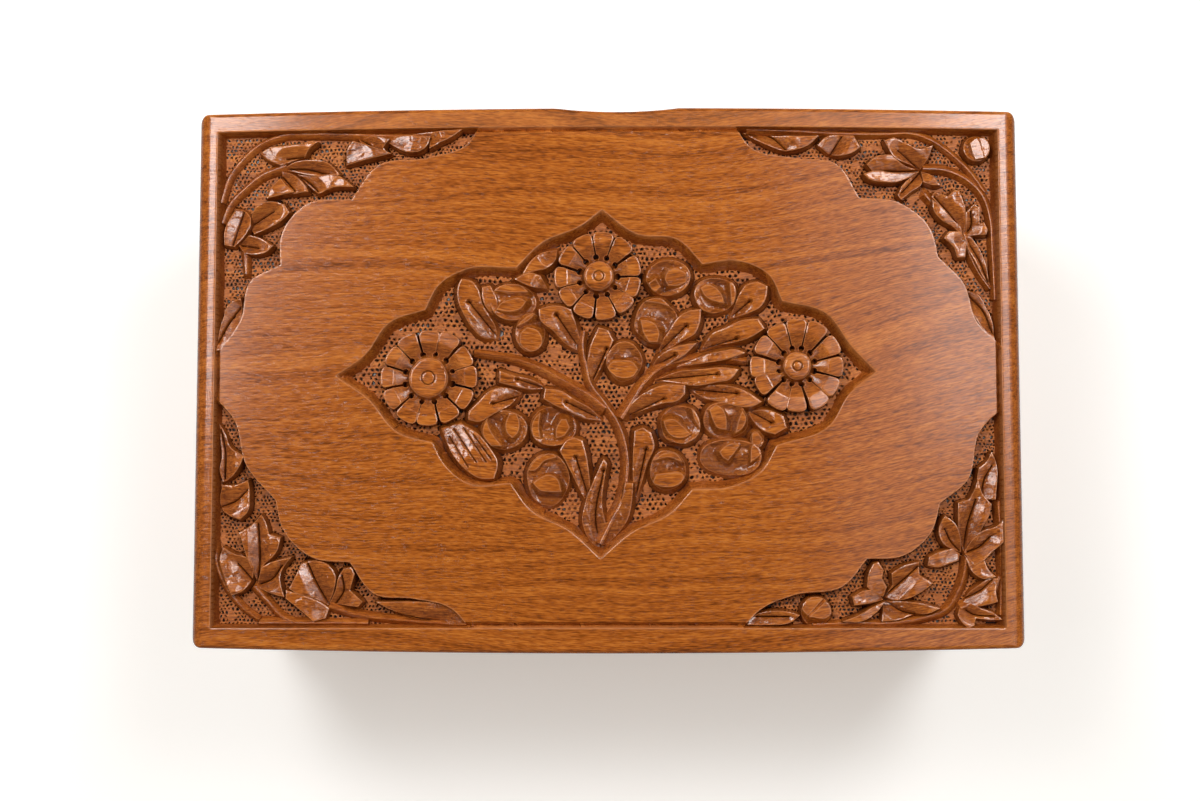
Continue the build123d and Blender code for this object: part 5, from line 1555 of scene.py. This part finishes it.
radius = add(matting, "ShaderNodeMath", [(0, given["Pitch"]), (1, SIX_SIDED)], operation="MULTIPLY")
hexagon = add(matting, "GeometryNodeMeshCircle",
              [("Vertices", 6), ("Radius", radius)], fill_type="TRIANGLE_FAN")
turned = add(matting, "GeometryNodeTransform", [(0, hexagon), ("Rotation", (0, 0, pi / 6))])
raised = add(matting, "GeometryNodeExtrudeMesh", [(0, turned), ("Offset Scale", 0.0), ("Individual", False)])
mark_share = add(matting, "ShaderNodeMath",
                 [(0, given["Mark Width"]), (1, given["Pitch"])], operation="DIVIDE")
rim = add(matting, "GeometryNodeScaleElements",
          [(0, raised), (1, raised.outputs["Top"]), ("Scale", mark_share)], domain="FACE")
spot = add(matting, "GeometryNodeInputPosition")
from_middle = add(matting, "ShaderNodeVectorMath", [(0, spot)], operation="LENGTH")
is_middle = add(matting, "FunctionNodeCompare",
                [(0, from_middle.outputs["Value"]), (1, 0.05 * MM)], data_type="FLOAT", operation="LESS_THAN")
down = add(matting, "ShaderNodeMath", [(0, 0.0), (1, given["Mark Depth"])], operation="SUBTRACT")
sunk = add(matting, "ShaderNodeCombineXYZ", [(2, down)])
tile = add(matting, "GeometryNodeSetPosition", [(0, rim), ("Selection", is_middle), ("Offset", sunk)])
print("with a tile the tree has", len(matting.nodes), "nodes")

# %% Setting the tiles, joining them and letting them wander
DRIFTS = [(260.0, (1.6, 1.6, 0.4)), (900.0, (1.5, 1.5, 0.15))]  # scale per metre, and shares of the wander

deeper = add(matting, "FunctionNodeRandomValue", [(2, 0.3), (3, 1.3), ("Seed", 5)], data_type="FLOAT")
crowd = add(matting, "ShaderNodeTexNoise", [("Scale", 300.0), ("Detail", 1.0)])
struck = add(matting, "ShaderNodeMapRange", [(0, crowd), (1, 0.34), (2, 0.46), (3, 0.08), (4, 1.0)])
blow = add(matting, "ShaderNodeMath", [(0, struck), (1, deeper.outputs[1])], operation="MULTIPLY")
stretch = add(matting, "ShaderNodeCombineXYZ", [(0, 1.0), (1, 1.0), (2, blow)])
tiles = add(matting, "GeometryNodeInstanceOnPoints",
            [("Points", marks), ("Instance", tile), ("Scale", stretch)])
real = add(matting, "GeometryNodeRealizeInstances", [(0, tiles)])
sheet = add(matting, "GeometryNodeMergeByDistance", [(0, real), ("Distance", 0.03 * MM)])
drifts = []
for scale, shares in DRIFTS:
    noise = add(matting, "ShaderNodeTexNoise", [("Scale", scale), ("Detail", 1.0)])
    even = add(matting, "ShaderNodeVectorMath",
               [(0, noise.outputs[1]), (1, (0.5, 0.5, 0.5))], operation="SUBTRACT")
    drifts.append(add(matting, "ShaderNodeVectorMath", [(0, even), (1, shares)], operation="MULTIPLY"))
both = add(matting, "ShaderNodeVectorMath", [(0, drifts[0]), (1, drifts[1])], operation="ADD")
moved = add(matting, "ShaderNodeVectorMath", [(0, both), ("Scale", given["Wander"])], operation="SCALE")
wandered = add(matting, "GeometryNodeSetPosition", [(0, sheet), ("Offset", moved)])
finish_tree(matting, wandered, given["Wood"])

# %% Open ground: what is sunk and has nothing standing on it
MEDALLION_CLEAR = (2.35, 1.3)  # how far the tiles keep from the foot of the wall, and from what stands there
CORNER_CLEAR, RIM_CLEAR = (0.6, 0.75), 0.9
OPEN_STEP, LONGEST_STEP = 0.75, 1.2


def open_places(area, outline):
    """Places all over an area's open ground."""
    low, high = np.maximum(outline.min(0), -RIM), np.minimum(outline.max(0), RIM + [0, BOW])
    fill = honeycomb(low, high, OPEN_STEP)
    kept = inside(fill, outline)
    if area == "medallion":
        from_wall, from_forms = MEDALLION_CLEAR
        kept &= distance(fill, medallion_line, True) > from_wall
    else:
        from_wall, from_forms = CORNER_CLEAR
        kept &= inside(fill, rim_line) & (distance(fill, field_lines[area]) > from_wall)
        kept &= distance(fill, rim_line, True) > RIM_CLEAR
    for form in drawn[area]:
        near = np.where(kept)[0]
        kept[near] &= ~inside(fill[near], form)
        near = np.where(kept)[0]
        near = near[np.abs(fill[near] - form.mean(0)).max(1) < 30]
        kept[near] &= distance(fill[near], form, True) > from_forms
    return fill[kept]


def open_ground(name, spots):
    """A flat mesh over these places, without triangles that reach across what stands between them."""
    found, _, triangles, *_ = delaunay_2d_cdt([Vector(p) for p in spots], [], [], 0, 1e-5, False)
    found, triangles = np.array([tuple(p) for p in found]), np.array(triangles)
    ends = found[triangles]
    longest = np.linalg.norm(ends - np.roll(ends, -1, 1), axis=2).max(1)
    triangles = triangles[longest < LONGEST_STEP]
    return mesh_of(name, in_frame(np.column_stack([found, np.full(len(found), GROUND)])), triangles)


areas = {"medallion": medallion_line, **pockets}
openings = {area: open_places(area, outline) for area, outline in areas.items()}
print("places of open ground:", [len(spots) for spots in openings.values()])

# %% Punching the ground
MEDALLION_PITCH, CORNER_PITCH, MARK_SHARE = 1.6, 1.25, 0.7
GROUND_PAINTED_LIGHT = 0.22  # what lies between the marks is painted paler, as painted light on sunk ground that lies in shade

for area, spots in openings.items():
    name = "medallion_ground" if area == "medallion" else f"{CORNER_NAMES[area]}_ground"
    pitch = MEDALLION_PITCH if area == "medallion" else CORNER_PITCH
    ground = grow(name, matting, open_ground(name + "_open", spots), Pitch=pitch * MM,
                  Mark_Width=MARK_SHARE * pitch * MM, Wood=punched_walnut)
    heights = np.empty(3 * len(ground.data.vertices), np.float32)
    ground.data.vertices.foreach_get("co", heights)
    # painted light: the ground between the marks is painted paler because it lies in shade
    between = heights[2::3] / MM - BOARD_TOP > GROUND - 0.4
    keep_wear_and_shading(ground.data, GROUND_PAINTED_LIGHT * between.astype(np.float32))
    ground.modifiers.new("thickness", "SOLIDIFY").thickness = 0.6 * MM
    adopt(ground, punched_walnut, "lid")

# %% [markdown]
# ## Lining and felt
# A thin board wrapped in velvet lies loose in the box, and a sheet of wool felt is glued under it. Both are
# closed forms on a grid whose rows crowd together near the edges, where the cloth turns over. The pad
# swells a little and its top is not quite even. The felt has a knife's slightly wandering edge.

# %% A grid that turns over at its edges
ROWS_AT_EDGE = np.array([0, 0.12, 0.3, 0.55, 0.9, 1.4, 2.2, 3.4])
ROW_GAP = 2.5


def crowded(low, high):
    """Places from low to high, close together at both ends."""
    middle = np.linspace(low + 5, high - 5, int((high - low - 10) / ROW_GAP) + 1)
    return np.concatenate([low + ROWS_AT_EDGE, middle, (high - ROWS_AT_EDGE)[::-1]])


def slab(name, low, high, rise, wobble):
    """A closed form between two corners in mm. Rise gives its share of height from the gap to its edge."""
    x, y = crowded(low[0], high[0]), crowded(low[1], high[1])
    u, v = (axis.ravel() for axis in np.meshgrid(x, y, indexing="ij"))
    gap = np.minimum(np.minimum(u - low[0], high[0] - u), np.minimum(v - low[1], high[1] - v))
    flat = np.column_stack([u, v])
    shift = np.abs(wobble * wander(flat, 14, 8) * nearness(gap, 4))
    placed = flat - np.sign(flat - (np.array(low[:2]) + high[:2]) / 2) * shift[:, None]
    top = low[2] + (high[2] - low[2]) * rise(flat, gap)
    points = np.vstack([np.column_stack([placed, top]), np.column_stack([placed, np.full(len(u), low[2])])])
    rows, cols, under = len(x), len(y), len(u)
    faces = []
    for a in (i * cols + j for i in range(rows - 1) for j in range(cols - 1)):
        b, c, d = a + cols, a + cols + 1, a + 1
        faces += [(a, b, c, d), (a + under, d + under, c + under, b + under)]
    border = [i * cols for i in range(rows)] + [(rows - 1) * cols + j for j in range(1, cols)]
    border += [i * cols + cols - 1 for i in range(rows - 2, -1, -1)] + list(range(cols - 2, 0, -1))
    faces += [(a + under, b + under, b, a) for a, b in zip(border, border[1:] + border[:1])]
    return bpy.data.objects.new(name, mesh_of(name, points * MM, faces))


print("over 100 mm the grid has", len(crowded(0, 100)), "rows")


# %% Velvet and felt
def cloth(name, colour, dark, pale, patch, fibre, sheen, height):
    """A fibrous cloth. Patch and fibre are sizes in mm, and sheen is what the pile adds at a low angle."""
    stuff, tree = new_material(name)
    spot = add(tree, "ShaderNodeTexCoord").outputs["Object"]
    in_mm = add(tree, "ShaderNodeMapping", [(0, spot), (3, (1000, 1000, 1000))])
    slow = add(tree, "ShaderNodeTexNoise",
               [(0, in_mm), ("Scale", 1 / patch), ("Detail", 2.0), ("Distortion", 0.6)])
    fine = add(tree, "ShaderNodeTexNoise",
               [(0, in_mm), ("Scale", 1 / fibre), ("Detail", 3.0), ("Roughness", 0.7)])
    both = add(tree, "ShaderNodeMix", [("Factor", 0.45), (2, slow), (3, fine)])
    ramp = add(tree, "ShaderNodeValToRGB", [(0, both)])
    stops = ramp.color_ramp.elements
    stops[0].position, stops[0].color = 0.34, linear(dark)
    stops[1].position, stops[1].color = 0.68, linear(pale)
    stops.new(0.5).color = linear(colour)
    relief = add(tree, "ShaderNodeBump", [("Height", fine), ("Strength", 0.5), ("Distance", height * MM)])
    surface = add(tree, "ShaderNodeBsdfPrincipled",
                  [("Base Color", ramp), ("Roughness", 0.9), ("Specular IOR Level", 0.15), ("Normal", relief),
                   ("Sheen Weight", sheen), ("Sheen Roughness", 0.4), ("Sheen Tint", linear(pale))])
    add(tree, "ShaderNodeOutputMaterial", [(0, surface)])
    return stuff


# Cotton velvet: short upright pile, dark looked straight into, pale at a low angle, and brushed in patches.
velvet = cloth("cotton_velvet", "#5a101a", "#4a0c15", "#741e2b", 26.0, 0.7, sheen=0.55, height=0.25)
# Pressed wool felt: matted fibres with no weave, matt from every side.
felt = cloth("wool_felt", "#2a4a33", "#1b3323", "#45664c", 9.0, 0.5, sheen=0.25, height=0.2)
print("cloths:", velvet.name, "and", felt.name)

# %% Laying the pad and the felt
lining_low, lining_high = (1000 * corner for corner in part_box("floor_lining"))
felt_low, felt_high = (1000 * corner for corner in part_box("base_felt"))


def pad_rise(p, gap):
    """The cloth turns over within 1.5 mm of the edge, and the padding goes on rising for 30 mm."""
    turned = np.sqrt(np.clip(1 - nearness(gap, 1.5) ** 2, 0, 1))
    return 0.12 + turned * (0.70 + 0.12 * np.clip(gap / 30, 0, 1) ** 0.6 + 0.05 * wander(p, 24, 6))


def felt_rise(p, gap):
    """The felt is only a little thinner where the knife cut it."""
    return 0.8 + 0.2 * np.clip(gap / 0.5, 0, 1)


pad = slab("velvet_pad", lining_low, lining_high, pad_rise, 0.25)
adopt(pad, velvet, "box", ["floor_lining"])

sole = slab("felt_sole", felt_low, felt_high, felt_rise, 0.35)
adopt(sole, felt, "box", ["base_felt"])

# %% [markdown]
# ## Brass and steel
# The hinges are stamped from brass strip, brushed along their length and browned by handling. The screws
# are plain steel. Metal shows its surroundings, so its look is all in the roughness and in thin scratches.

# %% Metal
def metal(name, colour, tarnish, rough, streak):
    """A brushed metal. Streak is the spacing of its scratches in mm."""
    stuff, tree = new_material(name)
    spot = add(tree, "ShaderNodeTexCoord").outputs["Object"]
    in_mm = add(tree, "ShaderNodeMapping", [(0, spot), (3, (1000, 1000, 1000))])
    along = add(tree, "ShaderNodeMapping", [(0, in_mm), (3, (0.06, 1, 1))])
    brush = add(tree, "ShaderNodeTexNoise",
                [(0, along), ("Scale", 1 / streak), ("Detail", 3.0), ("Roughness", 0.7)])
    cloud = add(tree, "ShaderNodeTexNoise",
                [(0, in_mm), ("Scale", 0.16), ("Detail", 4.0), ("Roughness", 0.6)])
    brown = add(tree, "ShaderNodeMapRange", [(0, cloud), (1, 0.45), (2, 0.72), (4, 0.75)])
    tone = add(tree, "ShaderNodeMix", [("Factor", brown), (6, linear(colour)), (7, linear(tarnish))],
               data_type="RGBA")
    dull = add(tree, "ShaderNodeMath", [(0, brown), (1, 0.18), (2, rough)], operation="MULTIPLY_ADD")
    gloss = add(tree, "ShaderNodeMath", [(0, brush), (1, 0.12), (2, dull)], operation="MULTIPLY_ADD")
    relief = add(tree, "ShaderNodeBump", [("Height", brush), ("Strength", 0.25), ("Distance", 0.05 * MM)])
    surface = add(tree, "ShaderNodeBsdfPrincipled",
                  [("Base Color", tone.outputs[2]), ("Metallic", 1.0), ("Roughness", gloss),
                   ("Normal", relief)])
    add(tree, "ShaderNodeOutputMaterial", [(0, surface)])
    return stuff


brass = metal("brushed_brass", "#c7a04c", "#7a5526", rough=0.24, streak=0.35)  # warm yellow, clouded brown
steel = metal("bright_steel", "#b8b4ac", "#77716a", rough=0.22, streak=0.3)  # cool grey with a soft highlight
print("metals:", brass.name, "and", steel.name)

# %% [markdown]
# ## Sides, base and fittings
# These keep their meshes from the frame and get their finish. Boards on the long sides have their fibres
# along the length, and the end boards across it, which is what makes the dovetails show.

# %% Finish of the frame's own pieces
FINISHES = {"base_board": base_walnut}
for long_side, end in (("front", "left"), ("rear", "right")):
    FINISHES |= {f"{long_side}_wall": long_walnut, f"lid_{long_side}_rail": long_walnut}
    FINISHES |= {f"{end}_wall": end_walnut, f"lid_{end}_rail": end_walnut}
for name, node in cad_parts.items():
    finish = steel if "screws" in name else brass if "hinge" in name else FINISHES.get(name)
    if finish is not None:
        node.data.materials[0] = finish
        print(name, "is", finish.name)
